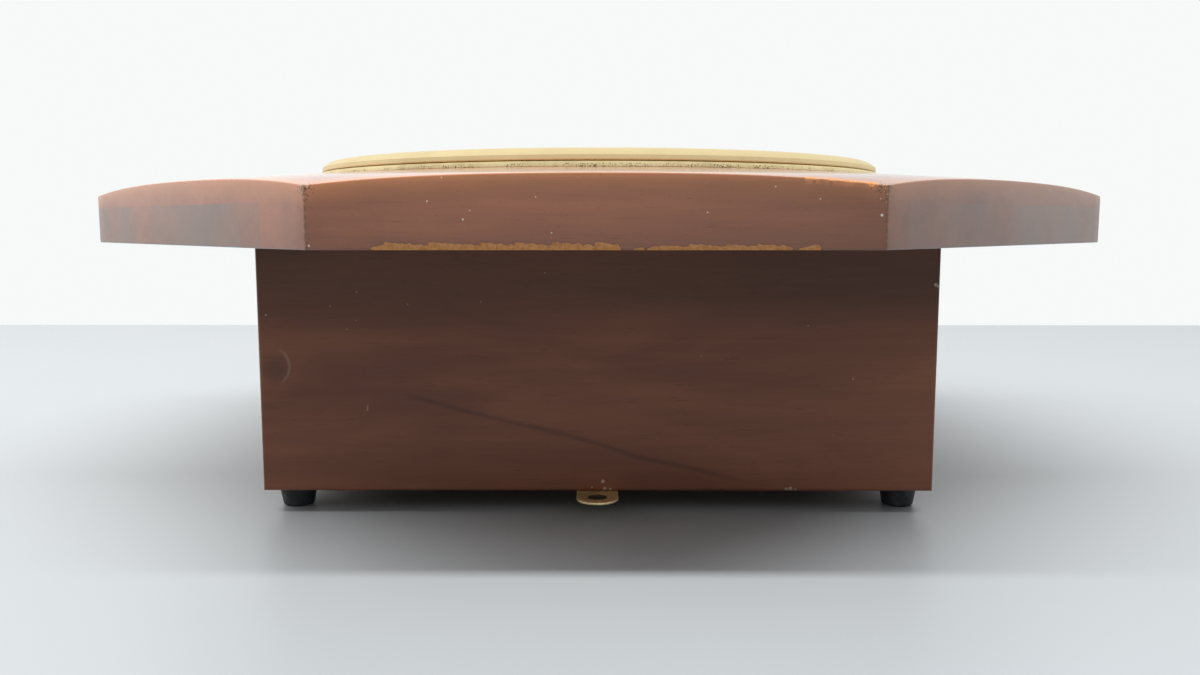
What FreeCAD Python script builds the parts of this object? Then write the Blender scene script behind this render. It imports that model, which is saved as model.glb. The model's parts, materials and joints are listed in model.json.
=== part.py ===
import FreeCAD, Part
import Sketcher
import math
import os
from types import SimpleNamespace

# Wind-up music box: an eight-sided turned top board over a square wooden case, with a hinged glazed
# bezel over a cylinder movement that is wound by a key on the left side.
# Frame: millimetres, +Z up, -Y to the front, origin on the ground under the middle of the case.

SIZES = {
    # case
    "foot_height": 6.2,
    "foot_top_radius": 5.5,
    "foot_bottom_radius": 4.5,
    "foot_recess_radius": 3.0,
    "foot_recess_depth": 2.4,
    "foot_inset_side": 7.1,
    "foot_inset_front": 10.0,
    "case_width": 189.2,
    "case_height": 69.4,
    "wall": 12.7,
    "case_edge_round": 1.2,
    "bottom_thickness": 5.0,
    "bottom_gap": 0.2,
    "cleat_width": 12.0,
    "top_cleat_height": 12.0,
    "bottom_cleat_height": 6.0,
    "cleat_length": 150.0,
    # turned top board, heights above its underside
    "board_width": 305.0,
    "board_seat_height": 21.06,
    "board_seat_radius": 98.6,
    "board_shoulder_height": 17.05,
    "board_shoulder_radius": 150.0,
    "board_rim_height": 13.9,
    "board_rim_curve": 66.0,
    "window_radius": 78.0,
    # brass base ring and hinged bezel, heights above the underside of the board
    "base_ring_radius": 98.3,
    "base_ring_inner_radius": 84.0,
    "base_ring_thickness": 1.0,
    "base_bead_height": 1.6,
    "base_bead_width": 1.4,
    "bezel_gap": 0.1,
    "bezel_radius": 97.8,
    "bezel_wall_height": 24.3,
    "bezel_rim_radius": 93.3,
    "bezel_rim_height": 26.5,
    "bezel_band_curve": 6.4,
    "bezel_lip_radius": 89.0,
    "bezel_lip_height": 25.6,
    "bezel_lip_curve": 8.0,
    "bezel_groove_inner_height": 24.7,
    "bezel_groove_peak_height": 25.1,
    "bezel_groove_outer_height": 23.7,
    "glass_seat_radius": 91.4,
    "glass_seat_height": 25.05,
    "bezel_sheet": 1.0,
    "glass_radius": 91.2,
    "glass_edge_height": 23.3,
    "glass_thickness": 1.5,
    "glass_rise": 4.0,
    "retaining_ring_width": 2.2,
    "retaining_ring_height": 0.7,
    # bezel hinge
    "hinge_back": 100.7,
    "hinge_height": 22.9,
    "knuckle_radius": 1.5,
    "hinge_pin_radius": 0.6,
    "hinge_half_width": 9.0,
    "moving_knuckle_half": 4.35,
    "hinge_leaf_thickness": 0.8,
    "hinge_leaf_height": 19.6,
    "hinge_leaf_back": 113.0,
    "hinge_leaf_front": 102.0,
    # hanging plate
    "hanger_width": 11.5,
    "hanger_thickness": 0.7,
    "hanger_reach": 11.8,
    "hanger_length": 40.0,
    "hanger_hole_radius": 2.25,
    # movement frame
    "bedplate_left": -80.0,
    "bedplate_right": 78.0,
    "bedplate_front": -62.0,
    "bedplate_back": 52.0,
    "bedplate_bottom": 18.0,
    "bedplate_thickness": 3.0,
    "rail_width": 12.0,
    "rail_half_length": 60.0,
    "left_rail_place": -56.0,
    "right_rail_place": 68.0,
    "running_fit": 0.05,
    # spring motor
    "axis_height": 48.0,
    "barrel_back": 28.0,
    "winding_arbor_radius": 2.5,
    "key_bush_radius": 6.0,
    "key_bush_flange_radius": 9.0,
    "key_bush_flange": 1.2,
    "bridge_thickness": 3.0,
    "left_bridge_place": -77.9,
    "right_bridge_place": -46.2,
    "bridge_top": 67.0,
    "barrel_left": -74.4,
    "barrel_wheel_left": -50.5,
    "train_wheel_width": 3.5,
    "barrel_radius": 21.0,
    "barrel_wall": 1.2,
    "barrel_teeth": 60,
    "motor_module": 0.8,
    "ratchet_left": -80.6,
    "ratchet_width": 2.0,
    "ratchet_radius": 9.0,
    "ratchet_root_radius": 7.4,
    "ratchet_teeth": 20,
    "spring_strip": 0.45,
    "spring_pitch": 1.6,
    "spring_half_turns": 18,
    "spring_margin": 2.2,
    "key_left": -114.0,
    "key_socket_length": 15.0,
    "key_socket_radius": 4.5,
    "key_lobe_radius": 8.5,
    "key_lobe_spread": 9.5,
    "key_lobe_hole": 4.0,
    "key_thickness": 2.6,
    # cylinder
    "cylinder_back": -4.0,
    "cylinder_radius": 13.0,
    "cylinder_half_length": 33.0,
    "cylinder_wall": 1.2,
    "cylinder_arbor_radius": 1.5,
    "pinion_teeth": 20,
    "bearing_inner": 36.0,
    "bearing_thickness": 4.0,
    "cylinder_wheel_left": 44.0,
    "cylinder_wheel_width": 2.5,
    "cylinder_wheel_teeth": 72,
    "governor_module": 0.5,
    # comb
    "comb_teeth": 50,
    "comb_pitch": 1.3,
    "comb_slot": 0.35,
    "comb_thickness": 1.4,
    "comb_height": 47.0,
    "comb_tip_clearance": 1.2,
    "comb_tooth_length": 21.8,
    "comb_heel_length": 18.0,
    "comb_base_side": 2.5,
    # governor
    "second_pinion_teeth": 12,
    "second_arbor_radius": 1.0,
    "screw_wheel_left": 55.0,
    "screw_wheel_width": 2.5,
    "screw_wheel_teeth": 24,
    "screw_wheel_module": 0.6,
    "screw_distance": 9.3,
    "screw_core_radius": 1.4,
    "governor_shaft_radius": 0.8,
    "fly_radius": 7.0,
    "fly_height": 9.0,
    "fly_bottom": 57.0,
    "fly_thickness": 0.4,
    "frame_left": 49.5,
    "frame_right": 64.0,
    "frame_back": 39.0,
    "frame_cheek": 2.0,
    "frame_cheek_front": 10.0,
    "frame_cheek_top": 56.0,
    "frame_top": 70.0,
    # stop lever
    "lever_pivot_right": 72.0,
    "lever_pivot_back": 6.0,
    "lever_height": 61.3,
    "lever_thickness": 1.6,
    "lever_boss_radius": 4.0,
    "lever_tip_radius": 1.5,
}

doc = FreeCAD.newDocument("WindUpMusicBox")


class Size(float):
    """A number that remembers the spreadsheet formula it is worked out with."""

    def __new__(cls, value, formula):
        size = super().__new__(cls, value)
        size.formula = formula
        return size

    def __add__(self, other):
        return Size(float(self) + float(other), f"({formula_of(self)} + {formula_of(other)})")

    def __radd__(self, other):
        return Size(float(other) + float(self), f"({formula_of(other)} + {formula_of(self)})")

    def __sub__(self, other):
        return Size(float(self) - float(other), f"({formula_of(self)} - {formula_of(other)})")

    def __rsub__(self, other):
        return Size(float(other) - float(self), f"({formula_of(other)} - {formula_of(self)})")

    def __mul__(self, other):
        return Size(float(self) * float(other), f"({formula_of(self)} * {formula_of(other)})")

    def __rmul__(self, other):
        return Size(float(other) * float(self), f"({formula_of(other)} * {formula_of(self)})")

    def __truediv__(self, other):
        return Size(float(self) / float(other), f"({formula_of(self)} / {formula_of(other)})")

    def __neg__(self):
        return Size(-float(self), f"(0 - {formula_of(self)})")


def formula_of(number):
    if isinstance(number, Size):
        return number.formula
    return f"({float(number):.9g})"


def fill_sheet():
    """Writes every driving size to the spreadsheet and gives them back as named sizes."""
    sheet = doc.addObject("Spreadsheet::Sheet", "Sizes")
    for row, (name, value) in enumerate(SIZES.items(), start=1):
        sheet.set(f"A{row}", name)
        sheet.set(f"B{row}", str(value))
        sheet.setAlias(f"B{row}", name)
    doc.recompute()
    return SimpleNamespace(**{name: Size(sheet.get(name), f"Sizes.{name}") for name in SIZES})


d = fill_sheet()
UP = FreeCAD.Rotation()
DOWN = FreeCAD.Rotation(FreeCAD.Vector(1, 0, 0), 180)
ALONG_X = FreeCAD.Rotation(FreeCAD.Vector(1, 1, 1), 120)
ALONG_Y = FreeCAD.Rotation(FreeCAD.Vector(1, 0, 0), -90)
SIDES = (-1, 1)
pieces = []


# ---------------------------------------------------------------- building blocks


def bind(obj, name, value):
    """Sets a property, tied to the spreadsheet where the value comes from it."""
    if isinstance(value, Size):
        obj.setExpression(name, value.formula)
    else:
        setattr(obj, name, value)


def place(obj, position, rotation=UP):
    obj.Placement = FreeCAD.Placement(FreeCAD.Vector(*position), rotation)
    for axis, value in zip("xyz", position):
        if isinstance(value, Size):
            obj.setExpression(f"Placement.Base.{axis}", value.formula)
    return obj


def box(low, high):
    obj = doc.addObject("Part::Box", "Block")
    for name, start, end in zip(("Length", "Width", "Height"), low, high):
        bind(obj, name, end - start)
    return place(obj, low)


def cylinder(base, radius, height, rotation=UP):
    obj = doc.addObject("Part::Cylinder", "Round")
    bind(obj, "Radius", radius)
    bind(obj, "Height", height)
    return place(obj, base, rotation)


def fuse(*shapes):
    obj = doc.addObject("Part::MultiFuse", "Joined")
    obj.Shapes = list(shapes)
    return obj


def group(*shapes):
    """Separate solids that share one node."""
    obj = doc.addObject("Part::Compound", "Group")
    obj.Links = list(shapes)
    return obj


def cut(base, *tools):
    obj = doc.addObject("Part::Cut", "Machined")
    obj.Base = base
    obj.Tool = tools[0] if len(tools) == 1 else fuse(*tools)
    return obj


def common(first, second):
    obj = doc.addObject("Part::Common", "Shared")
    obj.Base = first
    obj.Tool = second
    return obj


def piece(name, obj):
    """Names a finished sub-part, which is then written to a file of that name."""
    obj.Label = name
    pieces.append(obj)
    return obj


def draw_arc(start, end, radius):
    """The arc from start to end, with its centre on the left of the way for a positive radius."""
    half = (end - start) * 0.5
    left = FreeCAD.Vector(-half.y, half.x, 0).normalize()
    reach = math.sqrt(radius**2 - half.Length**2)
    centre = start + half + left * math.copysign(reach, radius)
    circle = Part.Circle(centre, FreeCAD.Vector(0, 0, 1), abs(radius))
    first, last = (start, end) if radius > 0 else (end, start)
    angles = [math.atan2(p.y - centre.y, p.x - centre.x) for p in (first, last)]
    return Part.ArcOfCircle(circle, *angles)


def outline_sketch(body, plane, outline):
    """A closed outline of corners (x, y) or (x, y, radius); with a radius the edge that leaves is an arc."""
    sketch = body.newObject("Sketcher::SketchObject", "Outline")
    origin_plane = [f for f in body.Origin.OriginFeatures if f.Role == plane][0]
    sketch.AttachmentSupport = [(origin_plane, "")]
    sketch.MapMode = "FlatFace"
    points = [FreeCAD.Vector(corner[0], corner[1], 0) for corner in outline]
    ends = []
    for i, corner in enumerate(outline):
        start, end = points[i], points[(i + 1) % len(points)]
        if len(corner) == 3:
            sketch.addGeometry(draw_arc(start, end, corner[2]), False)
            ends.append((1, 2) if corner[2] > 0 else (2, 1))
        else:
            sketch.addGeometry(Part.LineSegment(start, end), False)
            ends.append((1, 2))
    for i, corner in enumerate(outline):
        before = (i - 1) % len(outline)
        sketch.addConstraint(Sketcher.Constraint("Coincident", before, ends[before][1], i, ends[i][0]))
        for kind, axis, value in (("DistanceX", -2, corner[0]), ("DistanceY", -1, corner[1])):
            if value == 0:
                sketch.addConstraint(Sketcher.Constraint("PointOnObject", i, ends[i][0], axis))
            else:
                rule = Sketcher.Constraint(kind, -1, 1, i, ends[i][0], float(value))
                bind_rule(sketch, sketch.addConstraint(rule), value)
        if len(corner) == 3:
            rule = Sketcher.Constraint("Radius", i, abs(float(corner[2])))
            bind_rule(sketch, sketch.addConstraint(rule), corner[2] if corner[2] > 0 else -corner[2])
    return sketch


def bind_rule(sketch, index, value):
    if isinstance(value, Size):
        sketch.setExpression(f"Constraints[{index}]", value.formula)


def turned(outline, position=(0, 0, 0), rotation=UP):
    """A body turned about its own Z axis from an outline of radius and height."""
    body = doc.addObject("PartDesign::Body", "Turned")
    sketch = outline_sketch(body, "XZ_Plane", outline)
    turn = body.newObject("PartDesign::Revolution", "Turn")
    turn.Profile = sketch
    turn.ReferenceAxis = (sketch, ["V_Axis"])
    turn.Angle = 360
    sketch.Visibility = False
    return place(body, position, rotation)


def plate(outline, thickness, position=(0, 0, 0), rotation=UP):
    """A body cut from flat stock: the outline lies in its XY plane and the thickness goes up."""
    body = doc.addObject("PartDesign::Body", "Plate")
    pad = body.newObject("PartDesign::Pad", "Thickness")
    pad.Profile = outline_sketch(body, "XY_Plane", outline)
    bind(pad, "Length", thickness)
    return place(body, position, rotation)


def holes(places, radius, depth, rotation=UP):
    """One drill for each place, starting there and going the way the rotation turns up."""
    return [cylinder(position, radius, depth, rotation) for position in places]


def screws(places, head_radius, head_height, shank_radius, shank_length, rotation=UP):
    """Slotted screws whose heads stand up from the places and whose shanks go down from them."""
    slot_half = head_radius / 7
    made = []
    for position in places:
        head = cylinder((0, 0, 0), head_radius, head_height)
        slot = box((-head_radius, -slot_half, head_height * 0.5), (head_radius, slot_half, head_height))
        shank = cylinder((0, 0, -shank_length), shank_radius, shank_length)
        made.append(place(cut(fuse(head, shank), slot), position, rotation))
    return group(*made) if len(made) > 1 else made[0]


def along_x(x, y, z, radius, length):
    return cylinder((x, y, z), radius, length, ALONG_X)


def corners(x, y, z):
    return [(side * x, end * y, z) for side in SIDES for end in SIDES]


# ---------------------------------------------------------------- wooden case

case_half = d.case_width / 2
inner_half = case_half - d.wall
case_bottom = d.foot_height
board_bottom = d.foot_height + d.case_height
case_inside = case_bottom + d.bottom_thickness
bedplate_top = d.bedplate_bottom + d.bedplate_thickness

foot_places = corners(case_half - d.foot_inset_side, case_half - d.foot_inset_front, case_bottom)
foot_screw = {"head": 2.8, "head_height": 1.6, "shank": 1.5, "length": 18.0}
foot_screw_places = [(x, y, d.foot_recess_depth) for x, y, z in foot_places]
foot_pilots = holes(foot_screw_places, foot_screw["shank"], foot_screw["length"])

hanger_front = -case_half - d.hanger_reach
hanger_screw = {"head": 2.6, "head_height": 1.4, "shank": 1.4, "length": 5.5}
hanger_screw_places = [(0, -case_half + d.wall / 2, case_bottom - d.hanger_thickness),
                       (0, -inner_half + d.wall / 2, case_bottom - d.hanger_thickness)]
hanger_pilots = holes(hanger_screw_places, hanger_screw["shank"], hanger_screw["length"])


def rounded_panel(low, high, outer_edges):
    """A panel whose outer edges, named by the test outer_edges, are rounded over."""
    panel = box(low, high)
    doc.recompute()
    rounded = doc.addObject("Part::Fillet", "Rounded")
    rounded.Base = panel
    rounded.Edges = [(i, float(d.case_edge_round), float(d.case_edge_round))
                     for i, edge in enumerate(panel.Shape.Edges, start=1)
                     if outer_edges(edge.CenterOfMass)]
    return rounded


def full_width_panel(name, side, drills=()):
    """The front or rear panel, which runs the whole width and laps the ends of the side panels."""
    outer, inner = side * case_half, side * inner_half
    low, high = (outer, inner) if side < 0 else (inner, outer)

    def is_outer(middle):
        on_face = abs(middle.y - outer) < 0.01
        return on_face and (middle.z < case_bottom + 0.01 or abs(abs(middle.x) - case_half) < 0.01)

    panel = rounded_panel((-case_half, low, case_bottom), (case_half, high, board_bottom), is_outer)
    return piece(name, cut(panel, *drills))


def side_panel(side):
    """The left or right panel, which stands between the front and rear panels."""
    outer, inner = side * case_half, side * inner_half
    low, high = (outer, inner) if side < 0 else (inner, outer)

    def is_outer(middle):
        return abs(middle.x - outer) < 0.01 and middle.z < case_bottom + 0.01

    return rounded_panel((low, -inner_half, case_bottom), (high, inner_half, board_bottom), is_outer)


full_width_panel("front_panel", -1, foot_pilots[0:3:2] + hanger_pilots[:1])
full_width_panel("rear_panel", 1, foot_pilots[1:4:2])
key_hole = along_x(-case_half, d.barrel_back, d.axis_height, d.key_bush_radius, d.wall)
piece("left_panel", cut(side_panel(-1), key_hole))
piece("right_panel", side_panel(1))

# Top cleats tie the board to the front and rear panels; screws go up through them.
cleat_half = d.cleat_length / 2
cleat_middle = inner_half - d.cleat_width / 2
top_cleat_bottom = board_bottom - d.top_cleat_height
board_screw = {"head": 3.4, "head_height": 2.0, "shank": 2.0, "length": 26.0}
board_screw_places = corners(cleat_half - 8, cleat_middle, top_cleat_bottom)
bottom_screw = {"head": 2.8, "head_height": 1.4, "shank": 1.4, "length": 10.0}
bottom_screw_places = corners(cleat_half - 15, cleat_middle, case_bottom)
piece("top_board_screws", screws(board_screw_places, *board_screw.values(), rotation=DOWN))
piece("bottom_panel_screws", screws(bottom_screw_places, *bottom_screw.values(), rotation=DOWN))


def cleats(name, bottom, top, drills):
    """A batten along the front panel and one along the rear panel."""
    made = []
    for side, own_drills in zip(SIDES, (drills[0:3:2], drills[1:4:2])):
        near, far = side * inner_half, side * (inner_half - d.cleat_width)
        low, high = (near, far) if side < 0 else (far, near)
        made.append(cut(box((-cleat_half, low, bottom), (cleat_half, high, top)), *own_drills))
    return piece(name, group(*made))


board_pilots = holes(board_screw_places, board_screw["shank"], board_screw["length"])
cleats("top_cleats", top_cleat_bottom, board_bottom, board_pilots)
bottom_pilots = holes(bottom_screw_places, bottom_screw["shank"], bottom_screw["length"])
cleats("bottom_cleats", case_inside, case_inside + d.bottom_cleat_height, bottom_pilots)

bottom_half = inner_half - d.bottom_gap
bottom_board = box((-bottom_half, -bottom_half, case_bottom), (bottom_half, bottom_half, case_inside))
piece("bottom_panel", cut(bottom_board, *bottom_pilots, hanger_pilots[1]))


def rubber_foot(position):
    """A tapered bumper with a recess from below for its screw head."""
    foot = doc.addObject("Part::Cone", "Bumper")
    bind(foot, "Radius1", d.foot_bottom_radius)
    bind(foot, "Radius2", d.foot_top_radius)
    bind(foot, "Height", d.foot_height)
    recess = cylinder((0, 0, 0), d.foot_recess_radius, d.foot_recess_depth)
    bore = cylinder((0, 0, 0), foot_screw["shank"], d.foot_height)
    return place(cut(foot, recess, bore), (position[0], position[1], 0))


piece("rubber_feet", group(*[rubber_foot(position) for position in foot_places]))
piece("foot_screws", screws(foot_screw_places, *foot_screw.values(), rotation=DOWN))

# Hanging plate: a strap under the front edge whose rounded end stands out in front of the case.
hanger_eye = (0, hanger_front + d.hanger_width / 2, case_bottom - d.hanger_thickness)
hanger_half = d.hanger_width / 2
strap = box((-hanger_half, hanger_eye[1], hanger_eye[2]),
            (hanger_half, hanger_front + d.hanger_length, case_bottom))
strap_end = cylinder(hanger_eye, hanger_half, d.hanger_thickness)
strap_hole = cylinder(hanger_eye, d.hanger_hole_radius, d.hanger_thickness)
piece("hanging_plate", cut(fuse(strap, strap_end), strap_hole, *hanger_pilots))
piece("hanging_plate_screws", screws(hanger_screw_places, *hanger_screw.values(), rotation=DOWN))

# ---------------------------------------------------------------- turned top board and base ring

board_corner = d.board_width / (2 * math.cos(math.pi / 8))
dome_edge = board_corner + 0.5
dome = turned([
    (d.window_radius, 0),
    (dome_edge, 0),
    (dome_edge, d.board_rim_height, d.board_rim_curve),
    (d.board_shoulder_radius, d.board_shoulder_height),
    (d.board_seat_radius, d.board_seat_height),
    (d.window_radius, d.board_seat_height),
], (0, 0, board_bottom))
octagon = doc.addObject("Part::Prism", "Octagon")
octagon.Polygon = 8
bind(octagon, "Circumradius", board_corner)
bind(octagon, "Height", d.board_seat_height + 1)
place(octagon, (0, 0, board_bottom), FreeCAD.Rotation(FreeCAD.Vector(0, 0, 1), 22.5))

ring_seat = board_bottom + d.board_seat_height
ring_top = ring_seat + d.base_ring_thickness
pin = {"head": 1.6, "head_height": 0.5, "shank": 0.8, "length": 8.0}
pin_reach = (d.base_ring_radius - 3.7) / math.sqrt(2)
pin_places = corners(pin_reach, pin_reach, ring_top)
pin_pilots = holes(pin_places, pin["shank"], pin["length"], DOWN)

leaf_bottom = board_bottom + d.hinge_leaf_height
leaf_top = leaf_bottom + d.hinge_leaf_thickness
hinge_screw = {"head": 1.8, "head_height": 0.7, "shank": 1.0, "length": 9.0}
hinge_screw_places = [(side * (d.hinge_half_width - 3.5), d.hinge_leaf_back - 4.5, leaf_top)
                      for side in SIDES]
hinge_pilots = holes(hinge_screw_places, hinge_screw["shank"], hinge_screw["length"], DOWN)
leaf_room = 0.2
leaf_seat = box((-d.hinge_half_width - leaf_room, d.hinge_leaf_front - leaf_room, leaf_bottom),
                (d.hinge_half_width + leaf_room, d.hinge_leaf_back + leaf_room, ring_top))
piece("top_board", cut(common(dome, octagon), leaf_seat, *board_pilots, *pin_pilots, *hinge_pilots))

bead_top = d.board_seat_height + d.base_bead_height
bead_inner = d.base_ring_radius - d.base_bead_width
bead_curve = d.base_bead_width * 0.501
flange_top = d.board_seat_height + d.base_ring_thickness
base_ring = turned([
    (d.base_ring_inner_radius, d.board_seat_height),
    (d.base_ring_radius, d.board_seat_height),
    (d.base_ring_radius, bead_top - d.base_bead_width / 2, bead_curve),
    (bead_inner, bead_top - d.base_bead_width / 2),
    (bead_inner, flange_top),
    (d.base_ring_inner_radius, flange_top),
], (0, 0, board_bottom))
piece("bezel_base_ring", cut(base_ring, *pin_pilots))
piece("base_ring_pins", screws(pin_places, *pin.values()))

# ---------------------------------------------------------------- hinged bezel

bezel_bottom = bead_top + d.bezel_gap
groove_inner = d.glass_seat_radius + d.bezel_sheet
groove_outer = d.bezel_radius - d.bezel_sheet
bezel_ring = turned([
    (d.glass_seat_radius, bezel_bottom),
    (groove_inner, bezel_bottom),
    (groove_inner, d.bezel_groove_inner_height),
    (d.bezel_rim_radius, d.bezel_groove_peak_height),
    (groove_outer, d.bezel_groove_outer_height),
    (groove_outer, bezel_bottom),
    (d.bezel_radius, bezel_bottom),
    (d.bezel_radius, d.bezel_wall_height, d.bezel_band_curve),
    (d.bezel_rim_radius, d.bezel_rim_height, d.bezel_lip_curve),
    (d.bezel_lip_radius, d.bezel_lip_height),
    (d.bezel_lip_radius, d.glass_seat_height),
    (d.glass_seat_radius, d.glass_seat_height),
], (0, 0, board_bottom))
piece("bezel_ring", bezel_ring)

dome_curve = (d.glass_radius * d.glass_radius + d.glass_rise * d.glass_rise) / (2 * d.glass_rise)
glass_top = d.glass_edge_height + d.glass_thickness
piece("bezel_glass", turned([
    (0, d.glass_edge_height + d.glass_rise, -dome_curve),
    (d.glass_radius, d.glass_edge_height),
    (d.glass_radius, glass_top, dome_curve),
    (0, glass_top + d.glass_rise),
], (0, 0, board_bottom)))

retainer_gap = 0.1
retainer_bottom = d.glass_edge_height - retainer_gap - d.retaining_ring_height
retainer_inner = d.glass_radius - d.retaining_ring_width
piece("glass_retaining_ring", turned([
    (retainer_inner, retainer_bottom),
    (d.glass_radius, retainer_bottom),
    (d.glass_radius, retainer_bottom + d.retaining_ring_height),
    (retainer_inner, retainer_bottom + d.retaining_ring_height),
], (0, 0, board_bottom)))

hinge_z = board_bottom + d.hinge_height
fixed_knuckle_start = d.moving_knuckle_half + 0.3
web_depth = 2.4


def knuckle(start, end):
    return along_x(start, d.hinge_back, hinge_z, d.knuckle_radius, end - start)


def fixed_ear(start, end):
    """A knuckle of the fixed leaf with the web that carries it."""
    web = box((start, d.hinge_back, leaf_bottom), (end, d.hinge_back + web_depth, hinge_z))
    return fuse(knuckle(start, end), web)


fixed_leaf = fuse(
    box((-d.hinge_half_width, d.hinge_leaf_front, leaf_bottom),
        (d.hinge_half_width, d.hinge_leaf_back, leaf_top)),
    fixed_ear(-d.hinge_half_width, -fixed_knuckle_start),
    fixed_ear(fixed_knuckle_start, d.hinge_half_width),
)
ear_trim = box((-d.hinge_half_width, d.hinge_back - 2, leaf_bottom),
               (d.hinge_half_width, d.hinge_leaf_front, hinge_z - d.knuckle_radius))
pin_bore = along_x(-d.hinge_half_width, d.hinge_back, hinge_z, d.hinge_pin_radius, 2 * d.hinge_half_width)
piece("bezel_hinge_fixed_leaf", cut(fixed_leaf, ear_trim, pin_bore, *hinge_pilots))
piece("bezel_hinge_screws", screws(hinge_screw_places, *hinge_screw.values()))
piece("bezel_hinge_pin", along_x(-d.hinge_half_width, d.hinge_back, hinge_z,
                                 d.hinge_pin_radius, 2 * d.hinge_half_width))

moving_half = d.moving_knuckle_half
tab_bottom = board_bottom + bezel_bottom + 0.04
tab_thickness = 1.0
tab = box((-moving_half, d.bezel_radius - 2, tab_bottom),
          (moving_half, d.hinge_back, tab_bottom + tab_thickness))
ring_face = cylinder((0, 0, board_bottom), d.bezel_radius, d.bezel_rim_height)
moving_bore = along_x(-moving_half, d.hinge_back, hinge_z,
                      d.hinge_pin_radius + d.running_fit, 2 * moving_half)
piece("bezel_hinge_moving_leaf", cut(fuse(knuckle(-moving_half, moving_half), tab), ring_face, moving_bore))

# ---------------------------------------------------------------- movement frame

bearing_foot = 14.0
foot_thickness = 3.0
foot_top = bedplate_top + foot_thickness
small_screw = {"head": 2.4, "head_height": 1.5, "shank": 1.25, "length": 6.0}
left_foot = (d.left_bridge_place + d.bridge_thickness, bearing_foot - d.bridge_thickness)
right_foot = (d.right_bridge_place + d.bridge_thickness, bearing_foot - d.bridge_thickness)
bridge_half = 18.0
bridge_screw_places = [(start + length / 2 + 1, d.barrel_back + side * 12, foot_top)
                       for start, length in (left_foot, right_foot) for side in SIDES]
bearing_half = 8.0
bearing_sole_half = 13.5
bearing_screw_spread = 11.0
bearing_screw_reach = d.bearing_inner - 3.6
bearing_screw_places = [(side * bearing_screw_reach, d.cylinder_back + end * bearing_screw_spread, foot_top)
                        for side in SIDES for end in SIDES]
frame_screw_places = [(x, d.frame_back + 5, foot_top) for x in (d.frame_left + 3.2, d.frame_right - 3.2)]
bed_screw = {"head": 3.0, "head_height": 2.0, "shank": 1.5, "length": 8.0}
bed_screw_places = [(x, y, bedplate_top) for x in (d.left_rail_place, d.right_rail_place)
                    for y in (d.bedplate_front + 10, d.bedplate_back - 6)]


def pilots(places, screw):
    return holes(places, screw["shank"], screw["length"], DOWN)


bridge_pilots = pilots(bridge_screw_places, small_screw)
bearing_pilots = pilots(bearing_screw_places, small_screw)
frame_pilots = pilots(frame_screw_places, small_screw)
bed_pilots = pilots(bed_screw_places, bed_screw)
piece("bridge_screws", screws(bridge_screw_places, *small_screw.values()))
piece("bearing_screws", screws(bearing_screw_places, *small_screw.values()))
piece("governor_frame_screws", screws(frame_screw_places, *small_screw.values()))
piece("bedplate_screws", screws(bed_screw_places, *bed_screw.values()))

second_back = d.cylinder_back + d.governor_module * (d.cylinder_wheel_teeth + d.second_pinion_teeth) / 2
governor_right = d.screw_wheel_left + d.screw_wheel_width / 2
governor_back = second_back + d.screw_distance
pivot_depth = 1.6
governor_pivot = cylinder((governor_right, governor_back, bedplate_top - pivot_depth),
                          d.governor_shaft_radius + d.running_fit, pivot_depth)
bed = box((d.bedplate_left, d.bedplate_front, d.bedplate_bottom),
          (d.bedplate_right, d.bedplate_back, bedplate_top))
piece("bedplate", cut(bed, *bridge_pilots, *bearing_pilots, *frame_pilots, *bed_pilots, governor_pivot))


def rail(middle, drills):
    stock = box((middle - d.rail_width / 2, -d.rail_half_length, case_inside),
                (middle + d.rail_width / 2, d.rail_half_length, d.bedplate_bottom))
    return cut(stock, *drills)


piece("movement_rails", group(rail(d.left_rail_place, bed_pilots[:2]),
                              rail(d.right_rail_place, bed_pilots[2:])))


def barrel_bridge(left, foot, drills, top, lugs=()):
    """A plate that carries one end of the winding arbor, with a foot screwed to the bedplate."""
    start, length = foot
    near, far = d.barrel_back - bridge_half, d.barrel_back + bridge_half
    upright = box((left, near, bedplate_top), (left + d.bridge_thickness, far, top))
    sole = box((start, near, bedplate_top), (start + length, far, foot_top))
    bore = along_x(left, d.barrel_back, d.axis_height,
                   d.winding_arbor_radius + d.running_fit, d.bridge_thickness)
    return cut(fuse(upright, sole), bore, *drills, *lugs)


click_reach = 14.0
click_angle = math.radians(65)
click_back = d.barrel_back + click_reach * math.cos(click_angle)
click_up = d.axis_height + click_reach * math.sin(click_angle)
spring_anchor = (d.left_bridge_place - 2.4, d.barrel_back - 14.5, d.axis_height + 15.4)
click_play = 0.1
click_screw_face = d.ratchet_left - click_play
click_screw = {"head": 2.6, "head_height": 1.0, "shank": 1.4, "length": 5.2}
spring_screw = {"head": 1.6, "head_height": 0.8, "shank": 0.9, "length": 4.6}
INTO_BRIDGE = FreeCAD.Rotation(FreeCAD.Vector(0, 1, 0), -90)
click_hole = along_x(d.left_bridge_place, click_back, click_up, click_screw["shank"], d.bridge_thickness)
spring_hole = along_x(d.left_bridge_place, spring_anchor[1], spring_anchor[2],
                      spring_screw["shank"], d.bridge_thickness)
piece("barrel_bridge_left", barrel_bridge(d.left_bridge_place, left_foot, bridge_pilots[:2],
                                          d.bridge_top, (click_hole, spring_hole)))
piece("barrel_bridge_right", barrel_bridge(d.right_bridge_place, right_foot, bridge_pilots[2:],
                                           d.bridge_top - 7))


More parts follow.
